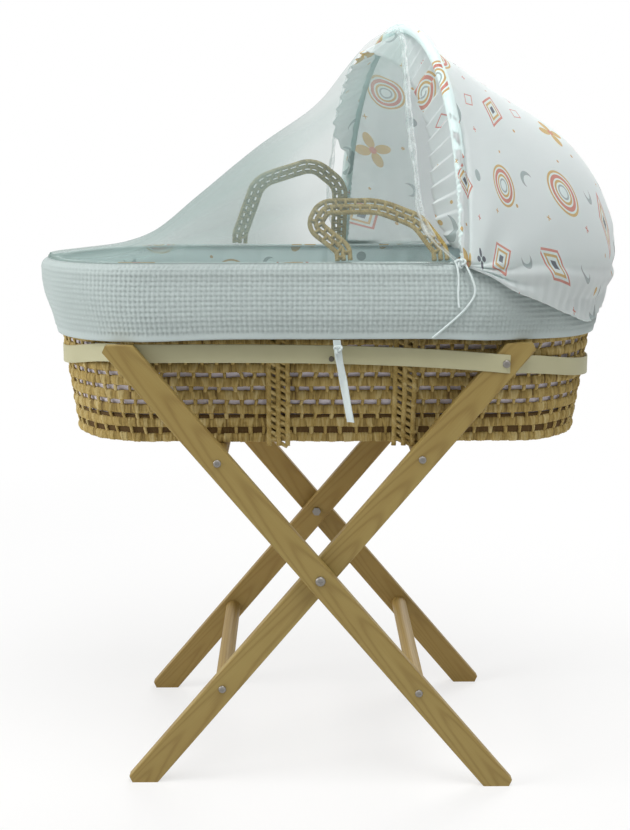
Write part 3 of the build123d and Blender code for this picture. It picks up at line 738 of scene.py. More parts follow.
for lean, pine in (("outer", pine_outer), ("inner", pine_inner)):
    for end in ("front", "rear"):
        dress(f"{lean}_leg_{end}", pine)
    for height in ("upper", "lower"):
        dress(f"{lean}_{height}_rail", pine_rail)
    for kind in ("rail", "strap"):
        dress(f"{lean}_{kind}_screws", steel)
for name in ("pivot_bolts", "pivot_spacers", "pivot_nuts"):
    dress(name, steel)
dress("strap_rivets", rivet_steel)
dress("basket_rim", straw_cord)
print("stand dressed")

# %% [markdown]
# ## Hanging ties
# Two drawstring ends of the net hang free. Each is a NURBS line that follows the points of
# its route, and bends as softly as tape does. A round bevel gives it its thickness, and the
# length is measured on the bare line.

# %% Ties
TIE_D = 3 * MM
LONG_TIE = [
    (188.6, -197.1, 799.3), (190, -208, 795.5), (199, -214.5, 778), (206, -219, 756),
    (193, -223, 736), (171, -225, 715), (143, -225, 692),
]
SHORT_TIE = [(177, -197.1, 799), (178, -208, 796), (181, -215, 776), (179, -220, 752), (181, -223, 735)]


def route_curve(name, route):
    """A smooth line that follows a route given in millimetres."""
    curve = bpy.data.curves.new(name, "CURVE")
    curve.dimensions = "3D"
    curve.resolution_u = 12
    spline = curve.splines.new("NURBS")
    spline.points.add(len(route) - 1)
    for point, (x, y, z) in zip(spline.points, route):
        point.co = (x * MM, y * MM, z * MM, 1.0)
    spline.order_u = 3
    spline.use_endpoint_u = True
    piece = bpy.data.objects.new(name, curve)
    bpy.context.scene.collection.objects.link(piece)
    return piece


def line_of(piece):
    """The points that a curve without bevel passes through."""
    mesh = bpy.data.meshes.new_from_object(piece)
    points = np.array([vertex.co for vertex in mesh.vertices])
    bpy.data.meshes.remove(mesh)
    return points


def length_of(points):
    return float(np.sum(np.linalg.norm(np.diff(points, axis=0), axis=1)))


for name, route in (("net_tie_long", LONG_TIE), ("net_tie_short", SHORT_TIE)):
    tie = route_curve(f"{name}_tape", route)
    tie_length = length_of(line_of(tie))
    tie.data.bevel_depth = TIE_D / 2
    tie.data.bevel_resolution = 3
    tie.data.use_fill_caps = True
    tie.data.materials.append(plain_white.material)
    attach(tie, "basket")
    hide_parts(name)
    print(name, round(tie_length, 4), "m")

# %% [markdown]
# The ribbon at the skirt's hem is flat. Its line is a curve of the same kind. A row of points lies across
# that line, turned a little on the way down and curled at its edges, and the strip is then thickened.

# %% Ribbon
RIBBON = [(7, -221.6, 688.8), (9, -221.6, 668), (15, -221.6, 640), (20, -221.6, 606), (27, -221.6, 569)]
RIBBON_W = 11 * MM
RIBBON_T = 1.2 * MM
RIBBON_TWIST = 0.5
RIBBON_CURL = 1.6 * MM
guide = route_curve("ribbon_line", RIBBON)
ribbon_line = line_of(guide)
bpy.data.objects.remove(guide)
share = np.linspace(0, 1, len(ribbon_line))[:, None]
twist = RIBBON_TWIST * np.sin(share * 5.0) * ease(share * 3)
across = np.concatenate([np.cos(twist), np.sin(twist), 0 * twist], 1)
steps = np.linspace(-0.5, 0.5, 7)
curl = RIBBON_CURL * (4 * steps ** 2)[None, :, None] * np.array([0, 1, 0])
strip = ribbon_line[:, None] + across[:, None] * (steps * RIBBON_W)[None, :, None] - curl * share[:, :, None]
ribbon_map = flat_map(share[:, 0] * length_of(ribbon_line), steps * RIBBON_W)
ribbon = Surface().sheet(strip, RIBBON_T, ribbon_map).build("ribbon_tape", plain_white, "basket")
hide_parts("skirt_ribbon")
print("ribbon", round(length_of(ribbon_line), 4), "m")

# %% [markdown]
# The ties and the ribbon each start in a small tight knot. A trefoil line with a thick soft tube round it
# makes one.


# %% Knots
def knot(name, place, size, thick):
    turn = np.linspace(0, 2.04 * pi, 120)
    loops = [np.sin(turn) + 2 * np.sin(2 * turn), np.cos(turn) - 2 * np.cos(2 * turn), -np.sin(3 * turn)]
    path = np.array(place) * MM + np.stack([loops[0], loops[2], loops[1]], 1) * size / 3
    rings = tube(path, (0.3, 1.0, 0.2), thick, thick * 0.8, 8)
    surface = Surface().add(rings, (False, True), tube_map(path, 8, 2 * pi * thick))
    piece = surface.build(name, plain_white, "basket")


knot("tie_knot", (184, -206, 797), 6.5 * MM, 2.4 * MM)
knot("ribbon_knot", (8.6, -224, 676), 5.5 * MM, 2.4 * MM)

# %% [markdown]
# ## Woven wall
# The wall is a stack of straw coils. Each coil is wrapped in strands, and about every 23 mm one group of
# strands runs down and is sewn round the coil below. The groups narrow towards that stitch, so wedges
# show between them, and small windows stay open between the coils. The wedges and the grooves between
# strands are darkened with painted shade. A flat texture would lose those windows and the rough outline,
# so every coil is a swept tube whose section carries the ridges, and every stitch is a small tube.

# %% Coils
ROWS = 12
PITCH = (WALL_TOP - BASE_Z) / ROWS
COIL_HIGH = 7.9 * MM
COIL_DEEP = WALL_DEEP / 2
STITCH = 23 * MM
STRANDS = 9
GROUP_HALF = 0.33
STRAND_DEEP = 0.9 * MM
WEDGE_DEEP = 1.3 * MM
STRAND_PROUD = 0.35 * MM
GROUP_LEAN = 0.10
GROUP_WIDTHS = (0.8, 1.15)
STRAND_SHADE = 0.4
# Painted shade: how much the tint darkens the wedges between groups and the grooves between strands
WEDGE_PAINTED_SHADE = 0.62
GROOVE_PAINTED_SHADE = 0.55
COIL_SHADE = 0.36
COIL_SAG = 0.8 * MM
SKIRT_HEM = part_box("skirt")[0].z
RING_FINE = 1.35 * MM
RING_COARSE = 3.2 * MM
SECTION = np.radians([0, 24, 48, 72, 96, 120, 144, 168, 196, 250, 310])
coil_draw = np.random.default_rng(11)


def coil_row(surface, z, a, b, half_high, half_deep, spacing, fan):
    """One wrapped coil round the basket; returns the places of its stitches."""
    _, _, around = oval(a, b, b, b, 8)
    stitches = round(around / STITCH)
    count = stitches * max(6, round(around / stitches / spacing))
    spots, outward, _ = oval(a - half_deep, b - half_deep, b - half_deep, b - half_deep, count)
    per = count // stitches
    shift = coil_draw.integers(per)
    cell = (np.arange(count) + shift) // per % stitches
    local = ((np.arange(count) + shift) % per + 0.5) / per - 0.5
    lean = coil_draw.uniform(-GROUP_LEAN, GROUP_LEAN, stitches)[cell]
    width = coil_draw.uniform(*GROUP_WIDTHS, stitches)[cell]
    down = (1 - np.cos(np.clip(SECTION, 0, pi))) / 2
    half = (GROUP_HALF - fan * down[None]) * width[:, None]
    place = local[:, None] - lean[:, None] * down[None]
    wedge = ease((abs(place) - half + 0.03) / 0.06)
    between = place * 9 + 2.2 * lean[:, None] * down[None]
    strand = np.where(wedge < 0.5, place / np.maximum(half, 0.06) * 1.5, between)
    ridge = np.cos(2 * pi * strand) * 0.5 + 0.5
    strand_id = np.clip(np.round(strand) + STRANDS // 2, 0, STRANDS - 1).astype(int)
    shades = coil_draw.normal(0, STRAND_SHADE, (stitches, STRANDS))
    proud = coil_draw.normal(0, STRAND_PROUD, (stitches, STRANDS))
    # The tint holds each strand's own shade, with painted shade in the wedges and in the grooves
    tint = shades[cell[:, None], strand_id] - WEDGE_PAINTED_SHADE * wedge - GROOVE_PAINTED_SHADE * (1 - ridge) + COIL_SHADE
    depth = -STRAND_DEEP * (1 - ridge) - WEDGE_DEEP * wedge + proud[cell[:, None], strand_id]
    sag = COIL_SAG * ripple(int(z * 1e4), np.linspace(0, 90, count))
    out = half_deep * np.sin(SECTION)[None] + depth * np.maximum(np.sin(SECTION), 0.15)[None]
    rise = (half_high + depth * 0.4) * np.cos(SECTION)[None] + sag[:, None]
    flat_out = lifted(outward, 0.0)
    grid = lifted(spots, z)[:, None] + flat_out[:, None] * out[..., None]
    grid[..., 2] += rise
    run = np.linspace(0, around, count + 1)
    turn = np.concatenate([SECTION, [2 * pi]]) * half_high
    surface.add(grid, (True, True), flat_map(run, turn), tint)
    middles = np.array([np.flatnonzero(cell == m)[per // 2] for m in range(stitches)])
    offset = np.round(coil_draw.normal(0, 0.6, stitches)).astype(int)
    return (middles + offset) % count, spots, flat_out


# %% [markdown]
# A stitch is a short tube that comes out of one coil, bulges, and goes in under the next. All the stitches
# of a row are one stack of grids, so they are added in one step.

# %% Stitches
# Share of the stitch's height, share of its size, how far it bulges
STITCH_LINE = np.array([
    (1.0, 0.02, -1.5 * MM), (0.97, 0.75, -0.6 * MM), (0.78, 1.0, 1.0 * MM), (0.5, 0.86, 1.5 * MM),
    (0.22, 0.9, 1.2 * MM), (0.03, 0.7, -0.4 * MM), (0.0, 0.02, -1.5 * MM),
])
STITCH_DEEP = 2.6 * MM
STITCH_WIDTHS = (2.5, 3.7)
STITCH_SLANT = 1.3 * MM
STITCH_SHADE = 0.1
# Painted shade: dark stripes round each stitch where its strands meet
STITCH_GROOVE_PAINTED_SHADE = -0.6


def stitch_row(surface, high_z, low_z, places, spots, flat_out, low_out):
    """The stitches from one coil down round the next."""
    count = len(places)
    sides = 8
    heights, sizes, bulge = STITCH_LINE.T
    turn = np.arange(sides) * 2 * pi / sides
    half_wide = coil_draw.uniform(*STITCH_WIDTHS, count) * MM
    slant = coil_draw.normal(0, STITCH_SLANT, count)
    base = lifted(spots[places], 0.0)
    out = flat_out[places]
    along = np.cross(out, [0, 0, 1.0])
    share = heights[None, :, None]
    z = low_z + (high_z - low_z) * heights
    step_out = (bulge[:, None] + STITCH_DEEP * sizes[:, None] * np.cos(turn))[None] - low_out * (1 - share)
    step_along = half_wide[:, None, None] * (sizes[:, None] * np.sin(turn))[None]
    step_along = step_along + slant[:, None, None] * (1 - share)
    grid = base[:, None, None] + out[:, None, None] * step_out[..., None]
    grid = grid + along[:, None, None] * step_along[..., None]
    grid[..., 2] += z[None, :, None]
    # Three dark stripes of painted shade stand in for the grooves between the stitch's strands
    painted_groove_shade = STITCH_GROOVE_PAINTED_SHADE * (np.sin(turn * 3) > 0.4)
    shade = coil_draw.normal(STITCH_SHADE, STRAND_SHADE, (count, 1, 1)) + painted_groove_shade[None, None]
    rows = heights * (high_z - low_z)
    flat = flat_map(np.linspace(0, 2 * pi, sides + 1) * 3 * MM, rows)
    surface.add(grid, (False, True), flat.transpose(1, 0, 2), np.broadcast_to(shade, grid.shape[:3]))


# %% [markdown]
# The wall leans outward as it rises. Only the coils that show below the skirt get fine rings, since the
# skirt covers the others. The lowest coil lies a little lower and stands out a little more.

# %% Wall
FAN = 0.17
LOW_FAN = 0.1
LOW_COIL_UP = 8.0 * MM
LOW_COIL_HIGH = 7.6 * MM
LOW_COIL_DEEP = 5.0 * MM
FINE_ABOVE_HEM = 30 * MM
wall = Surface()
rows = []
for row in range(ROWS):
    z = BASE_Z + (row + 0.5) * PITCH
    a, b = wall_half(z)
    high, deep, fan = COIL_HIGH, COIL_DEEP, FAN
    if row == 0:
        z, high, deep, fan = BASE_Z + LOW_COIL_UP, LOW_COIL_HIGH, LOW_COIL_DEEP, LOW_FAN
    spacing = RING_FINE if z < SKIRT_HEM + FINE_ABOVE_HEM else RING_COARSE
    rows.append((z, high, *coil_row(wall, z, a, b, high, deep, spacing, fan)))
for (low_z, low_high, *_), (z, high, places, spots, flat_out) in zip(rows[:-1], rows[1:]):
    lean_in = (wall_half(z)[1] - wall_half(low_z)[1]) * 0.9
    stitch_row(wall, z - high * 0.72, low_z + low_high * 0.55, places, spots, flat_out, lean_in)
wall_piece = wall.build("woven_wall", straw, "basket")
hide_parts("basket_wall")

# %% [markdown]
# ## Base
# The floor of the basket is woven too: flat coils in ever smaller ovals. Behind the lowest gaps of the wall
# stands a dark strip of painted shade, which is why those windows look brown and not white.

# %% Base
RING_WIDE = 15.5 * MM
BASE_SPACING = 3.4 * MM
# A dark strip of painted shade stands behind the wall's lowest gaps
SHADE_STRIP_IN = WALL_DEEP - 4.4 * MM
SHADE_STRIP_T = 0.6 * MM
SHADE_STRIP_TINT = -1.9
SHADE_STRIP_COUNT = 500
base = Surface()
base_mid = (base_low.z + base_high.z) / 2
base_half = (base_high.z - base_low.z) / 2
base_a = (base_high.x - base_low.x) / 2
base_b = base_high.y
for ring in range(int(base_b / RING_WIDE)):
    inset = (ring + 0.5) * RING_WIDE
    coil_row(base, base_mid, base_a - inset + RING_WIDE / 2, base_b - inset + RING_WIDE / 2,
             base_half, RING_WIDE / 2 * 0.98, BASE_SPACING, LOW_FAN)
shade_strip_z = np.linspace(BASE_Z + 9 * MM, BASE_Z + 44 * MM, 8)
shade_strip_grid = []
for z in shade_strip_z:
    a, b = wall_half(z)
    half = b - SHADE_STRIP_IN
    spots, _, around = oval(a - SHADE_STRIP_IN, half, half, half, SHADE_STRIP_COUNT)
    shade_strip_grid.append(lifted(spots, z))
shade_strip_map = flat_map(np.linspace(0, around, SHADE_STRIP_COUNT + 1), shade_strip_z)
# The strip's dark tint is painted shade
base.sheet(np.stack(shade_strip_grid, 1), SHADE_STRIP_T, shade_strip_map, True, SHADE_STRIP_TINT)
base_piece = base.build("woven_base", straw, "basket")
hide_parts("basket_base")

# %% [markdown]
# ## Bands
# Four braided bands go up the walls to the handle feet. Each has three wrapped cords with
# slanting strands between them, like a herringbone, and small ties across. Cords and strands are
# tubes laid on the tilted wall.

# %% Wrapped cords
BAND_GAP = 0.3 * MM
CORD_OUT = 3.1 * MM
CORD_SIDE = 4.0 * MM
CORD_APART = 14 * MM
BRAID_STEP = 10.8 * MM
BEND_Z = WALL_TOP - 76 * MM
BAND_LOW = BASE_Z - 4 * MM
STRAND_SLANT = 0.7
# Painted shade: how much darker the grooves between a cord's strands are
CORD_GROOVE_PAINTED_SHADE = 0.7
CORD_SHADE = 0.1
band_draw = np.random.default_rng(5)


def add_wrapped(surface, path, outward, half_out, half_side, sides, strand):
    """Adds a cord wrapped in strands: rings with ridges that climb round it, a shade for each strand, and
    painted shade in the grooves.
    """
    run = run_along(path)
    turn = np.arange(sides) / sides
    phase = run[:, None] / strand + STRAND_SLANT * np.sin(turn * 2 * pi)[None]
    ridge = abs(np.sin(phase * pi))
    shades = band_draw.normal(0, STRAND_SHADE, int(run[-1] / strand) + 6)
    strand_id = np.clip(np.floor(phase).astype(int) + 2, 0, len(shades) - 1)
    # Painted shade in the grooves between the ridges, over each strand's own shade
    tint = shades[strand_id] - CORD_GROOVE_PAINTED_SHADE * (1 - ridge) + CORD_SHADE
    full = 0.86 + 0.14 * ridge
    rings = tube(path, outward, half_out * full, half_side * full, sides)
    flat = tube_map(path, sides, 2 * pi * half_side)
    surface.add(rings, (False, True), flat[..., ::-1], np.concatenate([tint[:1], tint, tint[-1:]]))


# %% [markdown]
# A band stands upright on the wall and bends sideways near the top, where it meets the foot of a handle. The
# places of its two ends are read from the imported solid, which the braid replaces.


# %% Bands
def band_piece(name, node, side):
    bounds = nodes[node].data.vertices
    foot_x = np.mean([v.co.x for v in bounds if v.co.z < BASE_Z + 2 * MM])
    top_x = np.mean([v.co.x for v in bounds if v.co.z > WALL_TOP - 2 * MM])

    def spot(across, z, out):
        x = foot_x + (top_x - foot_x) * np.clip((z - BEND_Z) / (WALL_TOP - BEND_Z), 0, 1)
        y = wall_half(np.maximum(z, BASE_Z))[1] + BAND_GAP + out
        return np.stack(np.broadcast_arrays(x + across, side * y, z), -1)

    outward = np.array([0.0, side, 0.0])
    surface = Surface()
    z = np.arange(BAND_LOW, WALL_TOP, 1.5 * MM)
    for across in (-CORD_APART, 0.0, CORD_APART):
        sway = 0.7 * MM * ripple(int(abs(across) * 1e5) + (across > 0), z * 60)
        path = spot(across + sway, z, CORD_OUT + 0 * z)
        add_wrapped(surface, path, outward, CORD_OUT, CORD_SIDE, 10, 5.2 * MM)
    share = np.linspace(0, 1, 7)
    for level in np.arange(BAND_LOW + 6 * MM, WALL_TOP - 6 * MM, BRAID_STEP):
        for way in (-1, 1):
            across = way * CORD_APART * (0.12 + 0.8 * share)
            heights = level - way * 7 * MM * share + band_draw.normal(0, 0.8 * MM)
            lift = (2.2 + 1.5 * np.sin(share * pi)) * MM
            path = spot(across, heights, lift)
            add_wrapped(surface, path, outward, 2.1 * MM, 3.2 * MM, 8, 4 * MM)
    for level in np.arange(BAND_LOW + 16 * MM, BEND_Z, 43 * MM):
        for centre in (0.0, CORD_APART):
            turn = np.linspace(-0.5 * pi, 0.5 * pi, 9)
            across = centre + 5.4 * MM * np.sin(turn)
            lift = CORD_OUT + 3.0 * MM * np.cos(turn)
            path = spot(across, level + centre * 0.4 + 0 * turn, lift - 1.0 * MM)
            add_wrapped(surface, path, np.array([0, 0, 1.0]), 2.6 * MM, 1.1 * MM, 8, 3 * MM)
    piece = surface.build(name, straw_cord, "basket")
    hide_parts(node)


for place in ("near_band_foot", "near_band_head", "far_band_foot", "far_band_head"):
    band_piece(f"{place}_braid", place, -1 if place.startswith("near") else 1)

# %% [markdown]
# ## Handles
# Each carry handle is a flat strap of three wrapped coils, tied together so that a ladder of small holes is
# left. Its line is a few straight runs with rounded corners, leaning in over the basket; the coils follow
# that line side by side. The handles turn on their feet, so each one rides on its own body.


# %% Lines of the handles
def joint_place(name):
    """Where a joint sits, in metres."""
    return next(joint["pos_m"] for joint in frame["joints"] if joint["name"] == name)


_, near_y, HINGE_Z = joint_place("near_handle_swing")
HANDLE_Y = -near_y
COIL_R = 3.7 * MM
COIL_APART = 9.3 * MM
TIE_SPACING = 10
# Along X and up from the hinge line, in millimetres, and the radius of each corner between
NEAR_HANDLE = [(18, 0), (17, 17), (-26, 54), (-10, 83), (70, 84), (126, 60), (157, 16), (158, 0)]
NEAR_RADII = [15, 16, 20, 90, 40, 14]
FAR_HANDLE = [(-146, 0), (-145, 16), (-112, 116), (-22, 148), (22, 108), (21, 14), (20, 0)]
FAR_RADII = [16, 46, 34, 40, 14]


def rounded_line(points, radii, step):
    """Straight runs with rounded corners, as evenly spaced points."""
    points = [np.array(p, float) for p in points]
    line = [points[0]]
    for before, corner, after, radius in zip(points, points[1:], points[2:], radii):
        to_before = (before - corner) / np.linalg.norm(before - corner)
        to_after = (after - corner) / np.linalg.norm(after - corner)
        half = np.arccos(np.clip(to_before @ to_after, -1, 1)) / 2
        back = radius / tan(half)
        middle = corner + (to_before + to_after) / np.linalg.norm(to_before + to_after) * radius / sin(half)
        first = corner + to_before * back - middle
        last = corner + to_after * back - middle
        sweep = pi - 2 * half
        for share in np.linspace(0, 1, 14):
            line.append(middle + (first * sin((1 - share) * sweep) + last * sin(share * sweep)) / sin(sweep))
    line.append(points[-1])
    line = np.array(line)
    run = run_along(line)
    at = np.linspace(0, run[-1], int(run[-1] / step))
    return points_at(at, run, line)


# %% [markdown]
# Three coils lie side by side on that line. Small ties go round two of them at a time, first on one side and
# then on the other, which leaves the ladder of holes.


# %% Handles
def handle_piece(name, node, points, radii, lean, side):
    line = rounded_line(points, radii, 1.4)
    along = unit(np.gradient(line, axis=0))
    across = np.stack([along[:, 1], -along[:, 0]], 1)
    tip = radians(side * lean)
    face = np.array([0, cos(tip), sin(tip)])

    def spot(places, ways, steps, out):
        """Points beside places on the handle's line, tipped with it, and so far off its face."""
        flat = (places + ways * (steps / MM)[:, None]) * MM
        y = side * HANDLE_Y - flat[:, 1] * sin(tip) + out * cos(tip)
        z = HINGE_Z + flat[:, 1] * cos(tip) + out * sin(tip)
        return np.stack([flat[:, 0], y, z], 1)

    surface = Surface()
    for step in (-COIL_APART, 0.0, COIL_APART):
        wave = 0.25 * MM * ripple(int(abs(step) * 1e5) + (step > 0), np.linspace(0, 40, len(line)))
        add_wrapped(surface, spot(line, across, step + wave, 0 * wave), face, COIL_R, COIL_R, 10, 4.6 * MM)
    turn = np.linspace(0, 2 * pi, 13)
    lift = (COIL_R + 0.2 * MM) * np.sin(turn)
    for index in range(6, len(line) - 6, TIE_SPACING):
        ahead, rise = along[index]
        direction = np.array([ahead, -rise * sin(tip), rise * cos(tip)])
        for way, later in ((-1, 0), (1, TIE_SPACING // 2)):
            centre = way * COIL_APART / 2 + COIL_APART * 0.62 * np.cos(turn)
            path = spot(line[index + later - 3], across[index], centre, lift)
            add_wrapped(surface, path, direction, 2.0 * MM, 1.0 * MM, 6, 3 * MM)
    piece = surface.build(name, straw_cord, node)
    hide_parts(node)


handle_piece("near_handle_weave", "near_handle", NEAR_HANDLE, NEAR_RADII, 26, -1)
handle_piece("far_handle_weave", "far_handle", FAR_HANDLE, FAR_RADII, 27, 1)

# %% [markdown]
# ## Lining and mattress
# The lining is padded printed cloth that covers the inside of the wall, with a soft roll at its upper edge.
# It is one closed section, carried round the basket's ovals, and only its upper edge takes the print.

# %% Lining
liner_low, liner_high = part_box("liner")
liner_a = (liner_high.x - liner_low.x) / 2
liner_b = liner_high.y
LINER_T = 6 * MM
LINER_OUT = 3 * MM
ROLL_R = 3.6 * MM
OUTSIDE_ROWS = 26
ROLL_ROWS = 8
INSIDE_ROWS = 24
LINER_COUNT = 560
LINER_LONG = 2.0
DIP_HIGH = 40 * MM


def liner_at(share, out):
    """Half length, half width and height of the lining, a share of the way up the wall."""
    a = BASE_A - WALL_DEEP + (liner_a - BASE_A + WALL_DEEP) * share
    b = BASE_B - WALL_DEEP + (liner_b - BASE_B + WALL_DEEP) * share
    return a + out, b + out, liner_low.z + (liner_high.z - liner_low.z) * share


profile = [liner_at(share, LINER_OUT) for share in np.linspace(0, 1, OUTSIDE_ROWS)]
for turn in np.linspace(0.15, 1.0, ROLL_ROWS) * 1.15 * pi:
    step = ROLL_R * (1 - cos(turn)) * 0.9 - 4 * MM
    profile.append((liner_a - step, liner_b - step, liner_high.z + 0.6 * MM + ROLL_R * sin(turn)))
profile += [liner_at(share, -LINER_T) for share in np.linspace(0.94, 0.02, INSIDE_ROWS)]
lining_grid = np.stack([oval_ring(a, b, b, b, LINER_COUNT, z) for a, b, z in profile], 1)
run = run_along(lining_grid[0])
lining_map = flat_map(np.linspace(0, LINER_LONG, LINER_COUNT + 1), run)
near_top = ease((lining_grid[..., 2] - liner_high.z + DIP_HIGH) / DIP_HIGH)
lining_grid[..., 2] -= foot_dip(lining_grid[..., 0]) * near_top
puckers = 1.4 * MM * ripple(31, np.arange(LINER_COUNT)[:, None] * 0.55, run[None] * 18)
inner_share = ease((run - 0.27) / 0.03)[None]
lining_grid = lining_grid + normals_of(lining_grid, True) * (puckers * inner_share)[..., None]
closed_map = np.concatenate([lining_map, lining_map[:, :1]], 1)
lining = Surface().add(lining_grid, (True, True), closed_map).build("printed_lining", printed, "basket")
lining.data.materials.append(back_cloth.material)
face_columns = np.arange(len(lining.data.polygons)) % len(profile)
plain_face = (face_columns < OUTSIDE_ROWS - 2) | (face_columns > OUTSIDE_ROWS + ROLL_ROWS + 2)
lining.data.polygons.foreach_set("material_index", plain_face.astype(np.int32))
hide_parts("liner")

# %% [markdown]
# The mattress is a crowned pad in a white sheet. Stacked ovals give its shape. Cloth under
# pressure then swells it, which rounds the edges as filling does, and the moves are capped so that
# it keeps its place in the basket.

# %% Mattress
SWELL_VOXEL = 6 * MM
SWELL_CAP = 5 * MM
SWELL_PRESSURE = 4.0
SWELL_FRAMES = 20


def swell(piece):
    """Blows the pad up a little as cloth under pressure, and keeps the result as its mesh."""
    remesh = piece.modifiers.new("remesh", "REMESH")
    remesh.mode = "VOXEL"
    remesh.voxel_size = SWELL_VOXEL
    remesh.use_smooth_shade = True
    graph = bpy.context.evaluated_depsgraph_get()
    mesh = bpy.data.meshes.new_from_object(piece.evaluated_get(graph))
    piece.modifiers.remove(remesh)
    mesh.materials.clear()
    mesh.materials.append(plain_white.material)
    piece.data = mesh
    before = np.array([vertex.co for vertex in mesh.vertices])
    cloth = piece.modifiers.new("cloth", "CLOTH")
    cloth.settings.use_pressure = True
    cloth.settings.uniform_pressure_force = SWELL_PRESSURE
    cloth.settings.effector_weights.gravity = 0.0
    for step in range(1, SWELL_FRAMES + 1):
        bpy.context.scene.frame_set(step)
    graph = bpy.context.evaluated_depsgraph_get()
    after = np.array([vertex.co for vertex in piece.evaluated_get(graph).data.vertices])
    piece.modifiers.remove(cloth)
    bpy.context.scene.frame_set(1)
    move = after - before
    size = np.linalg.norm(move, axis=1, keepdims=True)
    move *= np.minimum(1.0, SWELL_CAP / np.maximum(size, 1e-9))
    puffed = before + move
    puffed[:, 2] = np.clip(puffed[:, 2], pad_low.z, pad_high.z)
    mesh.vertices.foreach_set("co", puffed.ravel())
    layer = mesh.uv_layers.new(name="cloth")
    corners = np.zeros(len(mesh.loops), np.int32)
    mesh.loops.foreach_get("vertex_index", corners)
    layer.data.foreach_set("uv", puffed[corners][:, :2].ravel().astype(np.float32))
    mesh.update()
    print("pad swelled by at most", round(float(size.max()) * 1000, 1), "mm before the cap")


pad_low, pad_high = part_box("mattress")
pad_a = (pad_high.x - pad_low.x) / 2
pad_b = pad_high.y
pad_h = pad_high.z - pad_low.z
PAD_COUNT = 360
# Share of the height, and how far the edge stands in from the widest oval in millimetres
PAD_SIDE = [
    (0.0, 14), (0.05, 8), (0.2, 5), (0.45, 4), (0.7, 5.6), (0.86, 11), (0.94, 22), (0.985, 46), (1.0, 84),
]
PAD_SEAM = (pad_a - pad_b, 0.4 * MM, 0.2 * MM, 0.2 * MM, PAD_COUNT)
columns = [oval_ring(*PAD_SEAM, pad_low.z)]
for height, inset in PAD_SIDE:
    half = pad_b - inset * MM
    columns.append(oval_ring(pad_a - inset * MM, half, half, half, PAD_COUNT, pad_low.z + pad_h * height))
columns.append(oval_ring(*PAD_SEAM, pad_high.z))
pad_grid = np.stack(columns, 1)
pad_map = np.concatenate([pad_grid, pad_grid[:1]])[..., :2]
mattress = Surface().add(pad_grid, (True, False), pad_map).build("sheet_mattress", plain_white)
swell(mattress)
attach(mattress, "basket")
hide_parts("mattress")

# %% [markdown]
# ## Skirt
# A waffle cloth goes over the rim and hangs outside. Its small square cells catch the light, so
# they are in the mesh: three grid steps to a cell, with the ridges raised, less so at the mouth.
# The hem is a flat doubled edge.

# %% Skirt
skirt_low, skirt_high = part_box("skirt")
CELL = 7.0 * MM
SKIRT_T = 2 * MM
HEM_Z = 0.690
HEM_A = 0.421
HEM_FALL = 0.30
HEM_DROP = 10 * MM
RIDGE = 1.2 * MM
SKIRT_OVER = 5 * MM
SKIRT_MOUTH = 18.9 * MM
SKIRT_ROUND = 2.16
SKIRT_TURN = 22 * MM
PULLED_FROM_X = 0.20
skirt_a = (skirt_high.x - skirt_low.x) / 2
skirt_b = skirt_high.y
# Half length, half width, corner round the foot end, height: from the mouth over the rim and down to the hem
SKIRT_LINE = np.array([
    (TOP_A - SKIRT_MOUTH, TOP_B - SKIRT_MOUTH, TOP_B - SKIRT_MOUTH, skirt_high.z - 0.4 * MM),
    (TOP_A - 8 * MM, TOP_B - 5 * MM, TOP_B - 7 * MM, skirt_high.z),
    (TOP_A + 4 * MM, TOP_B + 9 * MM, TOP_B + 7 * MM, skirt_high.z - 2.2 * MM),
    (skirt_a - 1 * MM, TOP_B + 16 * MM, TOP_B + 14 * MM, skirt_high.z - 8 * MM),
    (skirt_a, TOP_B + 20 * MM, TOP_B + 18 * MM, skirt_high.z - SKIRT_TURN),
    (skirt_a - 3 * MM, skirt_b - 6 * MM, skirt_b - 8 * MM, skirt_high.z - 50 * MM),
    (HEM_A + 6 * MM, skirt_b, skirt_b - 4 * MM, skirt_high.z - 80 * MM),
    (HEM_A, skirt_b, skirt_b - 4 * MM, HEM_Z),
])
line_run = run_along(SKIRT_LINE[:, [1, 3]])
steps_down = 3 * round(line_run[-1] / CELL)
steps_round = 3 * round(SKIRT_ROUND / CELL)
at = np.linspace(0, line_run[-1], steps_down + 1)
line = np.stack([smooth_through(line_run, SKIRT_LINE[:, k], at) for k in range(4)], 1)
skirt_grid = np.stack([oval_ring(a, b, corner, b, steps_round, z) for a, b, corner, z in line], 1)
fall_z = skirt_high.z - SKIRT_TURN
from_end = abs(skirt_grid[..., 0] - MIDDLE_X) - (HEM_A - HEM_FALL)
hem_here = HEM_Z - HEM_DROP * ease(from_end / HEM_FALL)
below = skirt_grid[..., 2] < fall_z
stretched = fall_z - (fall_z - skirt_grid[..., 2]) * (fall_z - hem_here) / (fall_z - HEM_Z)
skirt_grid[..., 2] = np.where(below, stretched, skirt_grid[..., 2])
near_top = ease((skirt_grid[..., 2] - skirt_high.z + 50 * MM) / (45 * MM))
skirt_grid[..., 2] -= foot_dip(skirt_grid[..., 0]) * near_top
under_top = ease((skirt_high.z - 14 * MM - skirt_grid[..., 2]) / (30 * MM))
pulled = ease((skirt_grid[..., 0] - PULLED_FROM_X) / 0.14) * under_top
inward = normals_of(skirt_grid, True) * [1, 1, 0]
wall_a, wall_b = wall_half(line[:, 3])
slack_a = np.maximum(line[:, 0] - wall_a - SKIRT_OVER, 0)[None]
slack_b = np.maximum(line[:, 1] - wall_b - SKIRT_OVER, 0)[None]
pull = pulled * (slack_b + (slack_a - slack_b) * abs(inward[..., 0]))
skirt_grid = skirt_grid + inward * pull[..., None]
print("skirt", steps_round // 3, "by", steps_down // 3, "cells")

# %% [markdown]
# The cells are raised lines on every third row and column of the grid. The hem stays flat with one sunk line
# for its seam. Slack cloth takes a few soft folds, which fade where the cloth is pulled in.

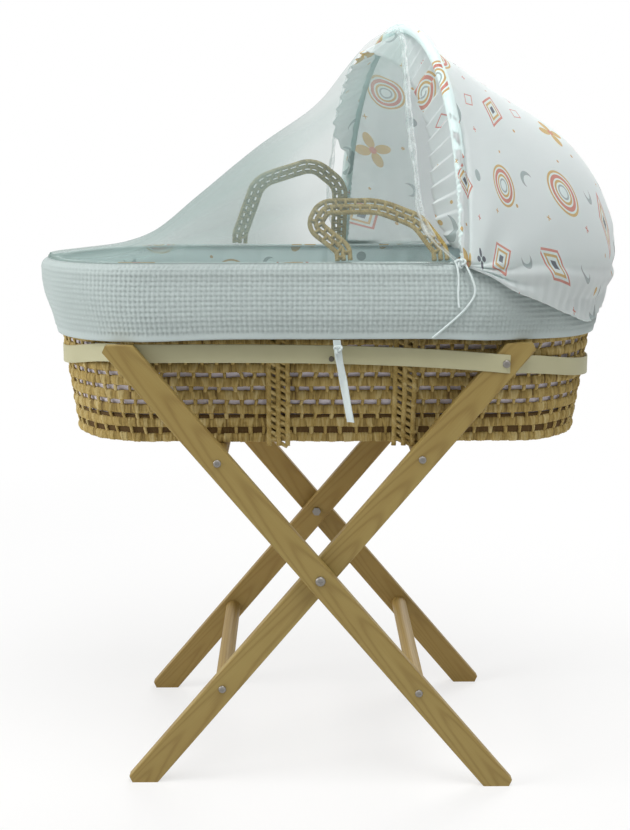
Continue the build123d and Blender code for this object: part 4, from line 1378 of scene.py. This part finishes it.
# %% Waffle cells
i, j = np.meshgrid(np.arange(steps_round), np.arange(steps_down + 1), indexing="ij")
raised = np.where((i % 3 == 0) | (j % 3 == 0), RIDGE, -RIDGE) * (0.6 + 0.4 * ease((j - 4) / 8))
from_hem = steps_down - j
raised = np.where(from_hem < 4, 0.3 * MM * (from_hem != 3), raised)
slack = ease((j / steps_down - 0.3) / 0.5)
broad_folds = 1.6 * MM * ripple(3, i * 0.022, j * 0.03)
small_folds = 0.8 * MM * ripple(8, i * 0.07, j * 0.02)
folds = (broad_folds * slack + small_folds * slack) * (1 - 0.7 * pulled)
skirt_grid = skirt_grid - normals_of(skirt_grid, True) * (raised + folds)[..., None]
skirt_map = flat_map(np.arange(steps_round + 1) * CELL / 3, at)
skirt_out = -normals_of(skirt_grid, True)
skirt_cloth = Surface().sheet(skirt_grid[::-1], SKIRT_T, skirt_map[::-1], True)
skirt = skirt_cloth.build("waffle_skirt", waffle, "basket")
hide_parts("skirt")

# %% [markdown]
# ## Hood
# The hood is cloth from the hoop to the head end, where it closes in a round back. It is one grid of
# arches: the share along the hood is the square root of the distance to the back, so the arches crowd
# together where the cloth turns down.

# %% Hood
HOOP_X, _, HOOP_Z = joint_place("hood_fold")
HOOP_SKEW = 22.5
HOOP_HALF = 0.20803
HOOP_H = 0.336
HOOD_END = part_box("hood_canopy")[1].x
HOOD_R = TOP_B + 28.7 * MM
HOOD_DEEP = 340.0
HOOD_T = 1.0 * MM
FRONT_FROM = 0.251
FRONT_LONG = 0.089
ARCH_LEG = 0.14
DRESS_Z = skirt_high.z
# Distance from the back, skew, ridge above the hoop's ends, hem below the dressing
HOOD_STATIONS = np.array([
    (0.0, 0.0, 24, 66), (11, 0.0, 66, 79), (36, 0.0, 119, 94), (86, 0.0, 176, 76),
    (166, 0.0, 226, 44), (251, 8.0, 278, 14), (300, 15.0, 309, 5), (HOOD_DEEP, HOOP_SKEW, 341.0, -0.4),
])


def arch_turn(around):
    """Angle over an arch whose ends are straight legs; around runs from 0 to 1."""
    return np.clip((around - ARCH_LEG) / (1 - 2 * ARCH_LEG), 0, 1) * pi


def arch_row(x, skew, half, spring_z, rise, low_z, around):
    """Points of one arch from its near foot over the top to its far foot."""
    leg = np.maximum(spring_z - low_z, 0)
    turn = arch_turn(around)
    down = np.clip(1 - around / ARCH_LEG, 0, 1) + np.clip(1 - (1 - around) / ARCH_LEG, 0, 1)
    side = half * np.cos(turn)
    z = spring_z + rise * np.sin(turn) - down * leg
    angle = radians(skew)
    return np.stack([x + side * sin(angle), -side * cos(angle), z], 1)


around = np.linspace(0, 1, 181)
crown = len(around) // 2
levels = np.linspace(sqrt(HOOD_DEEP), 0.02, 110)
station_level = np.sqrt(HOOD_STATIONS[:, 0])
skews, rises, drops = (smooth_through(station_level, HOOD_STATIONS[:, k], levels) for k in (1, 2, 3))
hood_rows = []
for level, skew, rise, drop in zip(levels, skews, rises, drops):
    distance = level ** 2 * MM
    half = sqrt(max(HOOD_R ** 2 - max(HOOD_R - distance, 0) ** 2, 1e-12))
    front = ease((distance - FRONT_FROM) / FRONT_LONG)
    half = half * (1 - front) + (HOOP_HALF + 5.5 * MM) * front
    hem_z = DRESS_Z - drop * MM
    hood_rows.append(arch_row(HOOD_END - distance, skew, half, HOOP_Z, rise * MM, hem_z, around))
hood_grid = np.stack(hood_rows, 0)
hood_run = run_along(hood_grid[:, crown])
arch_run = np.cumsum(np.linalg.norm(np.diff(hood_grid, axis=1, prepend=hood_grid[:, :1]), axis=2), axis=1)
arch_run = arch_run - arch_run[:, crown:crown + 1]
hood_map = np.stack([np.broadcast_to(hood_run[:, None], arch_run.shape), arch_run], -1)
print("hood ridge", round(float(hood_run[-1]), 3), "m long")

# %% [markdown]
# An elastic draws the hem in until it nearly meets the skirt. For each low point of the hood, a search tree
# finds the nearest point of the skirt, and the room that is left there limits the move.

# %% Elastic hem
HOOD_OVER = 3.4 * MM
DRAWN_IN = 30 * MM
hood_normals = normals_of(hood_grid)
to_hem = np.minimum(around, 1 - around)[None]
along_hood = np.linspace(0, 1, len(levels))[:, None]
hem_gather = np.exp(-(to_hem / 0.07) ** 2) * ease(along_hood * 4)
drawn_in = DRAWN_IN * ease((0.1 - to_hem) / 0.1) * ease((along_hood - 0.25) / 0.35)
skirt_tree = KDTree(skirt_grid.shape[0] * skirt_grid.shape[1])
for index, point in enumerate(skirt_grid.reshape(-1, 3)):
    skirt_tree.insert(point, index)
skirt_tree.balance()
for row, col in zip(*np.nonzero(hood_grid[..., 2] < DRESS_Z - 4 * MM)):
    _, index, _ = skirt_tree.find(hood_grid[row, col])
    near = np.unravel_index(index, skirt_grid.shape[:2])
    room = float((hood_grid[row, col] - skirt_grid[near]) @ skirt_out[near]) - HOOD_OVER
    drawn_in[row, col] = min(drawn_in[row, col], room)
hood_grid = hood_grid - hood_normals * [1, 1, 0] * drawn_in[..., None]
print("hood drawn in by at most", round(float(drawn_in.max()) / MM, 1), "mm")

# %% [markdown]
# Cloth that is pulled to a knot creases in rays from it, and an elastic hem makes short
# gathers. Each of these is a wave or a groove, faded in and out along the hood, and all of them
# move the points along the normals.

# %% Creases of the hood
creases = 3.2 * MM * ripple(17, along_hood * 9 + to_hem * 14, around[None] * 9)
from_knot = np.arctan2(to_hem * 2.2, along_hood + 0.03)
knot_reach = np.exp(-((to_hem / 0.22) ** 2 + (along_hood / 0.42) ** 2)) * ease(along_hood * 7)
creases = creases + 4.0 * MM * knot_reach * np.sin(from_knot * 17 + 1.5 * ripple(23, to_hem * 20))
hem_line = np.exp(-((to_hem - 0.135 + 0.03 * along_hood) / 0.016) ** 2)
creases = creases - 4.5 * MM * hem_line * ease((along_hood - 0.2) / 0.3)
gather_turn = hood_run[:, None] * 2 * pi / 0.019 + 2 * ripple(4, hood_run[:, None] * 30)
gathers = 1.6 * MM * hem_gather * np.sin(gather_turn)
hoop_gather = 1.6 * MM * np.exp(-(along_hood / 0.05) ** 2) * np.sin(around[None] * 2 * pi * 46)
behind = hood_run[:, None] + 4 * MM * ripple(52, around[None] * 7)
groove = 2.2 * np.exp(-((behind - 0.016) / 0.007) ** 2) - 3.6 * np.exp(-((behind - 0.036) / 0.013) ** 2)
hoop_gather = hoop_gather + groove * MM * ease(to_hem * 6)
hood_grid = hood_grid + hood_normals * (creases * ease(along_hood * 6) + gathers + hoop_gather)[..., None]
hood = Surface().sheet(hood_grid[:, ::-1], HOOD_T, hood_map[:, ::-1]).build("hood_cloth", printed)
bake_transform(hood)
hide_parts("hood_canopy")

# %% [markdown]
# The hoop runs in a sewn casing, ruched on its lower half where the elastic pulls it in. A tube along the
# hoop's line makes it, and the ruching is a change of its radius.

# %% Casing
CASING_R = 8.2 * MM
CASING_SIDES = 12
RUCHE_STEP = 8.5 * MM
turns = np.linspace(0, pi, 420)
angle = radians(HOOP_SKEW)


def on_hoop(side, height, ahead):
    """A point given across the hoop (to the near side), up from its ends, and ahead of it."""
    x = HOOP_X + side * sin(angle) - ahead * cos(angle)
    y = -side * cos(angle) - ahead * sin(angle)
    return np.stack(np.broadcast_arrays(x, y, HOOP_Z + height), -1)


hoop_side, hoop_rise = HOOP_HALF * np.cos(turns), HOOP_H * np.sin(turns)
hoop_path = on_hoop(hoop_side, hoop_rise, 0 * turns)
hoop_out = on_hoop(hoop_side * 1.1, hoop_rise * 1.1, 0 * turns) - hoop_path
hoop_out[:, 2] = hoop_rise * 0.1
hoop_run = run_along(hoop_path)
low_half = ease((0.55 - np.sin(turns)) / 0.35)[:, None]
section = np.arange(CASING_SIDES)[None] / CASING_SIDES * 2 * pi
ruche = 1 + low_half * 0.14 * np.sin(hoop_run[:, None] * 2 * pi / RUCHE_STEP + np.sin(section * 2))
ruche = ruche + 0.04 * ripple(9, hoop_run[:, None] * 50, section)
ruche = ruche * (0.72 + 0.28 * ease(np.sin(turns) * 11))[:, None]
casing_rings = tube(hoop_path, hoop_out + [0, 0, 1e-6], CASING_R * ruche, CASING_R * ruche, CASING_SIDES)
casing_map = tube_map(hoop_path, CASING_SIDES, 2 * pi * CASING_R)
casing = Surface().add(casing_rings, (False, True), casing_map).build("hoop_casing", printed, "hood")
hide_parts("hood_hoop")

# %% [markdown]
# The frill inside the hoop is a strip of the same cloth in knife pleats: each pleat rises slowly and drops
# back at once. It lies flatter low on the far side, where the handle passes.

# %% Frill
FRILL_W = 52 * MM
FRILL_T = 0.8 * MM
FRILL_TIP = radians(25)
FAR_TIP = radians(66)
FRILL_ROWS = 11
PLEATS = 34
PLEAT_STEPS = 14
PLEAT_DEEP = 5.0 * MM
FRILL_ENDS = radians(3)
pleat_turns = np.linspace(FRILL_ENDS, pi - FRILL_ENDS, PLEATS * PLEAT_STEPS + 1)
pleat = (np.arange(len(pleat_turns)) / PLEAT_STEPS) % 1
saw = np.where(pleat < 0.8, pleat / 0.8, (1 - pleat) / 0.2)
by_handle = ease((pleat_turns - 0.79 * pi) / (0.08 * pi))
tip = FRILL_TIP + (FAR_TIP - FRILL_TIP) * ease((pleat_turns - 0.42 * pi) / (0.16 * pi))
by_foot = 0.55 + 0.45 * ease(np.sin(pleat_turns) * 3)
frill_side = (HOOP_HALF - CASING_R * 0.6) * np.cos(pleat_turns)
frill_rise = (HOOP_H - CASING_R * 0.6) * np.sin(pleat_turns)
frill_rows = []
for step in np.linspace(0, 1, FRILL_ROWS):
    flare = 0.7 + 0.5 * step
    ahead = (saw - 0.5) * PLEAT_DEEP * flare + 1.5 * MM * step * ripple(6, pleat_turns * 14)
    ahead = ahead + step * FRILL_W * np.sin(tip) * ease(np.sin(pleat_turns) * 4) * (1 - 0.85 * by_handle)
    narrow = step * FRILL_W * np.cos(tip) * (1 - 0.6 * by_handle) * by_foot
    narrow = narrow + 1.2 * MM * step * np.sin(pleat * 2 * pi)
    foot = 1 - narrow / np.sqrt(frill_side ** 2 + frill_rise ** 2)
    frill_rows.append(on_hoop(frill_side * foot, frill_rise * foot, ahead))
frill_grid = np.stack(frill_rows, 1)
frill_map = flat_map(run_along(frill_grid[:, FRILL_ROWS // 2]), np.linspace(0, FRILL_W, FRILL_ROWS))
frill = Surface().sheet(frill_grid, FRILL_T, frill_map).build("pleated_frill", printed, "hood")
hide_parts("hood_frill")

# %% [markdown]
# ## Net
# A sheer tent falls from the hoop to the foot end of the rim. It is a single layer: its opacity
# is stored point by point, higher along a few broad creases and where the cloth is gathered to
# the knot at the hoop's near foot.

# %% Net
net_low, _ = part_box("net")
NET_END = net_low.x
NET_R = TOP_B + 5 * MM
NET_ARCH = [0, 0.1, 0.28, 0.5, 0.77, 0.95, 1.0]
NET_AHEAD = [8, 44, 64, 64, 52, 30, 14]
net_spring = net_low.z + 1.2 * MM
# Share of the way from the foot end to the hoop, skew, height of the ridge above the edge
NET_STATIONS = np.array([
    (0.0, 0.0, 3), (0.0055, 0.0, 3.5), (0.062, 0.0, 5), (0.2, 0.0, 14), (0.305, 0.0, 36), (0.425, 0.0, 88),
    (0.59, 5.0, 160), (0.83, 12.0, 246), (1.0, 22.5, 336),
])
net_levels = np.linspace(0.0, 1.0, 150) ** 1.4
net_around = np.linspace(0, 1, 141)
net_skews, net_rises = (smooth_through(NET_STATIONS[:, 0], NET_STATIONS[:, k], net_levels) for k in (1, 2))
net_ahead = smooth_through(NET_ARCH, NET_AHEAD, np.sin(arch_turn(net_around))) * MM
net_ahead = net_ahead * (1 - 0.55 * ease((net_around - 0.5) / 0.25))
net_rows = []
for level, skew, rise in zip(net_levels, net_skews, net_rises):
    distance = level * (HOOP_X - NET_END)
    half = sqrt(max(NET_R ** 2 - max(NET_R - distance, 0) ** 2, 1e-10)) / cos(radians(skew))
    front = ease((level - 0.85) / 0.15)
    half = half * (1 - front) + HOOP_HALF * front
    bow = ease((level - 0.55) / 0.45) * net_ahead
    row = arch_row(NET_END + distance, skew, half, net_spring, rise * MM, net_low.z, net_around)
    row[:, 0] -= bow
    row[:, 2] -= foot_dip(row[:, 0])
    far_side = np.maximum(row[:, 1], 0) / max(row[:, 1].max(), 1e-9)
    square = 1 - 0.22 * ease((1 - level) / 0.15)
    row[:, 1] = np.where(row[:, 1] > 0, row[:, 1].max() * far_side ** square, row[:, 1])
    net_rows.append(row)
net_grid = np.stack(net_rows, 0)
net_map = flat_map(run_along(net_grid[:, len(net_around) // 2]), run_along(net_grid[120]))
print("net ridge", round(float(net_map[-1, 0, 0]), 3), "m long")

# %% [markdown]
# Net that lies double hides more, so its creases show by opacity. Three long creases and the rays round the
# knot move the points a little and make the net denser there. Near the hoop it is thinner.

# %% Creases of the net
# Strength, place over the arch, how it moves over towards the hoop, width
NET_CREASES = [(1.0, 0.30, 0.10, 0.035), (0.8, 0.40, 0.02, 0.02), (0.6, 0.20, 0.05, 0.02)]
to_hoop, over = net_levels[:, None], net_around[None]
crease = 0.0
for strong, place, moved, width in NET_CREASES:
    crease = crease + strong * np.exp(-((over - place - moved * to_hoop) / width) ** 2)
knot_pull = np.exp(-((over / 0.18) ** 2 + ((1 - to_hoop) / 0.16) ** 2))
rays = np.sin(np.arctan2((1 - to_hoop) * 1.6, over + 0.02) * 26)
net_grid = net_grid - normals_of(net_grid) * (4 * MM * crease + 2.5 * MM * knot_pull * rays)[..., None]
opacity = 0.48 - 0.26 * ease((to_hoop - 0.55) / 0.3) + 0.11 * crease + 0.12 * knot_pull * (1 + 0.6 * rays)
opacity = opacity + 0.05 * ripple(12, to_hoop * 8, over * 9)
net = Surface().add(net_grid, (False, False), net_map, opacity).build("net_veil", net_finish)
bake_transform(net)
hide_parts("net")

# %% [markdown]
# The net ends at the hoop in a narrow lace edge. It is a strip across the net's last row, with a wandering
# width and a slight ruffle, and its opacity changes from row to row as lace does.

# %% Lace
LACE_W = 9 * MM
LACE_ROWS = [1, 0.4, 0, 0, 0.5, 1, 0.4, 0]
edge = net_grid[-1]
edge_in = net_grid[-6] - net_grid[-1]
edge_in /= np.maximum(np.linalg.norm(edge_in, axis=1, keepdims=True), 1e-9)
lace_at = np.linspace(0, len(edge) - 1, 900)
edge_line, edge_way = (points_at(lace_at, np.arange(len(edge)), line) for line in (edge, edge_in))
scallop = 1 + 0.3 * ripple(41, lace_at * 1.3)
ruffle = 2.4 * MM * ripple(43, lace_at * 0.9)[:, None] * np.array([0.4, 1.0, 0.0])
lace_rows = []
for width in np.linspace(-0.5, 0.6, len(LACE_ROWS)):
    reach = edge_way * (width * scallop * LACE_W)[:, None]
    lace_rows.append(edge_line + reach + ruffle * (0.6 - width) * abs(width))
lace_grid = np.stack(lace_rows, 1)
lace_map = flat_map(run_along(edge_line), np.linspace(0, 12 * MM, len(LACE_ROWS)))
lace_shade = 0.26 + 0.34 * np.array(LACE_ROWS)[None] + 0.14 * ripple(47, lace_at[:, None] * 2.1)
lace = Surface().add(lace_grid, (False, False), lace_map, lace_shade).build("net_lace", lace_finish, "hood")

# %% [markdown]
# ## Strap
# A flat cream strip goes round the basket between the two frames and keeps the leg tops from spreading. It
# can't fold with the stand, so it flattens along X as the frames close.


# %% Taut line
def taut_round(points):
    """The closed line that a taut band makes round a set of points in plan, anticlockwise."""
    ordered = sorted(map(tuple, points))
    chains = []
    for run in (ordered, ordered[::-1]):
        chain = []
        for x, y in run:
            while len(chain) > 1:
                (ax, ay), (bx, by) = chain[-2:]
                if (bx - ax) * (y - ay) - (by - ay) * (x - ax) > 0:
                    break
                chain.pop()
            chain.append((x, y))
        chains.append(chain[:-1])
    line = chains[0] + chains[1]
    return np.array(line + line[:1])


# %% [markdown]
# In plan the strap is the taut line round the basket's oval and the four leg tops. Its height changes from
# the legs to the ends of the basket, and its two edges are a little raised.

# %% Strap
STRAP_W = 27 * MM
STRAP_T = 1.6 * MM
STRAP_GAP = 2 * MM
STRAP_CORNER = 8 * MM
STRAP_COUNT = 700
# Heights of its middle line: at the foot end, at the legs, and at the head end
FOOT_END_Z, FOOT_LEGS_Z, HEAD_LEGS_Z, HEAD_END_Z = 0.643, 0.666, 0.650, 0.624
# Share of the width up, share of the thickness out
STRAP_EDGE = [
    (-0.5, -0.5), (-0.5, 0.5), (-0.47, 0.62), (0, 0.55), (0.47, 0.62), (0.5, 0.5), (0.5, -0.5), (0, -0.5),
]
wall_a, wall_b = wall_half(FOOT_END_Z)
strap_a = wall_a + STRAP_GAP
strap_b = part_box("strap")[1].y - STRAP_T / 2
lean = tan(radians(LEG_ANGLE))
foot_x = STAND_X - (FOOT_LEGS_Z - PIVOT_Z) * lean
head_x = STAND_X + (HEAD_LEGS_Z - PIVOT_Z) * lean
round_wall, _, _ = oval(strap_a, wall_b + STRAP_GAP, wall_b, wall_b, 400)
corner_turn = np.linspace(0, 2 * pi, 60)
corner = STRAP_CORNER * np.stack([np.cos(corner_turn), np.sin(corner_turn)], 1)
leg_y = strap_b - STRAP_CORNER
at_legs = [corner + [x, y] for x in (foot_x, head_x) for y in (leg_y, -leg_y)]
taut = taut_round(np.concatenate([round_wall, *at_legs]))
taut_run = run_along(taut)
at = np.linspace(0, taut_run[-1], STRAP_COUNT, endpoint=False)
spots = points_at(at, taut_run, taut)
along = unit(np.roll(spots, -2, 0) - np.roll(spots, 2, 0))
flat_out = lifted(np.stack([along[:, 1], -along[:, 0]], 1), 0.0)
bends_x = [MIDDLE_X - strap_a - 1 * MM, foot_x, head_x, MIDDLE_X + strap_a + 1 * MM]
middle_z = smooth_through(bends_x, [FOOT_END_Z, FOOT_LEGS_Z, HEAD_LEGS_Z, HEAD_END_Z], spots[:, 0])
rings = []
for up, out in STRAP_EDGE:
    rings.append(lifted(spots, (middle_z + up * STRAP_W)[:, None]) + flat_out * (out * STRAP_T))
strap_map = flat_map(np.linspace(0, taut_run[-1], STRAP_COUNT + 1), np.arange(len(STRAP_EDGE) + 1) * 4 * MM)
strap = Surface().add(np.stack(rings, 1), (True, True), strap_map).build("cream_strap", cream_tape, "strap")
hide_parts("strap")
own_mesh(strap)

# %% [markdown]
# ## Floor and light
# The floor is pale and fades to pure white with distance, so that no horizon shows.

# %% Floor
FLOOR = 12.0
FADE_FROM = 0.7
FADE_LONG = 1.3
floor_finish = Finish("floor", {"Roughness": 0.9, "Specular IOR Level": 0.1})
patches = floor_finish.noise(floor_finish.place(), 3.0) * 0.5
floor_finish.into("Base Color", floor_finish.mix(patches, tone(244, 244, 243), tone(240, 240, 239)))
x, y, _ = floor_finish.parts_of(floor_finish.place())
far_off = (((x * x + y * y) ** 0.5 - FADE_FROM) / FADE_LONG).clip()
seen = floor_finish.node("ShaderNodeLightPath", {}, {}, "Is Camera Ray")
white = floor_finish.node("ShaderNodeEmission", {}, {"Color": (1, 1, 1, 1), "Strength": 1.0})
surface = Val(floor_finish, floor_finish.shader.outputs[0])
glow = (far_off * 0.35 + 0.65) * seen
blended = floor_finish.node("ShaderNodeMixShader", {}, {0: glow, 1: surface, 2: white})
floor_finish.tree.links.new(blended.socket, floor_finish.tree.nodes["Material Output"].inputs["Surface"])
floor_mesh = bpy.data.meshes.new("floor")
floor_corners = [(-FLOOR, -FLOOR, 0), (FLOOR, -FLOOR, 0), (FLOOR, FLOOR, 0), (-FLOOR, FLOOR, 0)]
floor_mesh.from_pydata(floor_corners, [], [(0, 1, 2, 3)])
floor_mesh.materials.append(floor_finish.material)
floor = bpy.data.objects.new("floor", floor_mesh)
bpy.context.scene.collection.objects.link(floor)
print("floor laid")

# %% [markdown]
# A large soft lamp shines from the left, one from above, one from behind through the hood, and a
# weak one from the right. The world is an even white that the camera sees in full, and that lights
# the pieces with less strength.


# %% Light
def soft_lamp(name, place, aim, size, power):
    lamp = bpy.data.lights.new(name, "AREA")
    lamp.size = size
    lamp.energy = power
    piece = bpy.data.objects.new(name, lamp)
    bpy.context.scene.collection.objects.link(piece)
    piece.location = place
    piece.rotation_euler = (Vector(aim) - Vector(place)).to_track_quat("-Z", "Y").to_euler()


soft_lamp("key_lamp", (-3.2, -0.7, 1.75), (0, 0, 0.85), 1.4, 64)
soft_lamp("top_lamp", (0.3, -1.1, 3.1), (0.1, 0, 0.8), 1.8, 48)
soft_lamp("back_lamp", (0.9, 2.4, 2.2), (0.15, 0, 0.95), 1.8, 45)
soft_lamp("fill_lamp", (2.2, -2.4, 1.8), (0, 0, 0.6), 2.0, 4)
world = bpy.data.worlds.new("studio")
bpy.context.scene.world = world
world.use_nodes = True
tree = world.node_tree
backdrop = tree.nodes["Background"]
path_kind = tree.nodes.new("ShaderNodeLightPath")
seen = path_kind.outputs["Is Camera Ray"]
for kind in ("Is Glossy Ray", "Is Transmission Ray"):
    either = tree.nodes.new("ShaderNodeMath")
    either.operation = "MAXIMUM"
    tree.links.new(seen, either.inputs[0])
    tree.links.new(path_kind.outputs[kind], either.inputs[1])
    seen = either.outputs[0]
strength = tree.nodes.new("ShaderNodeMapRange")
tree.links.new(seen, strength.inputs["Value"])
strength.inputs["To Min"].default_value = 0.3
strength.inputs["To Max"].default_value = 1.0
tree.links.new(strength.outputs[0], backdrop.inputs["Strength"])
backdrop.inputs["Color"].default_value = (1, 1, 1, 1)
bpy.context.scene.view_settings.view_transform = "Standard"
print("lit")

# %% [markdown]

# %% End
print("scene built")
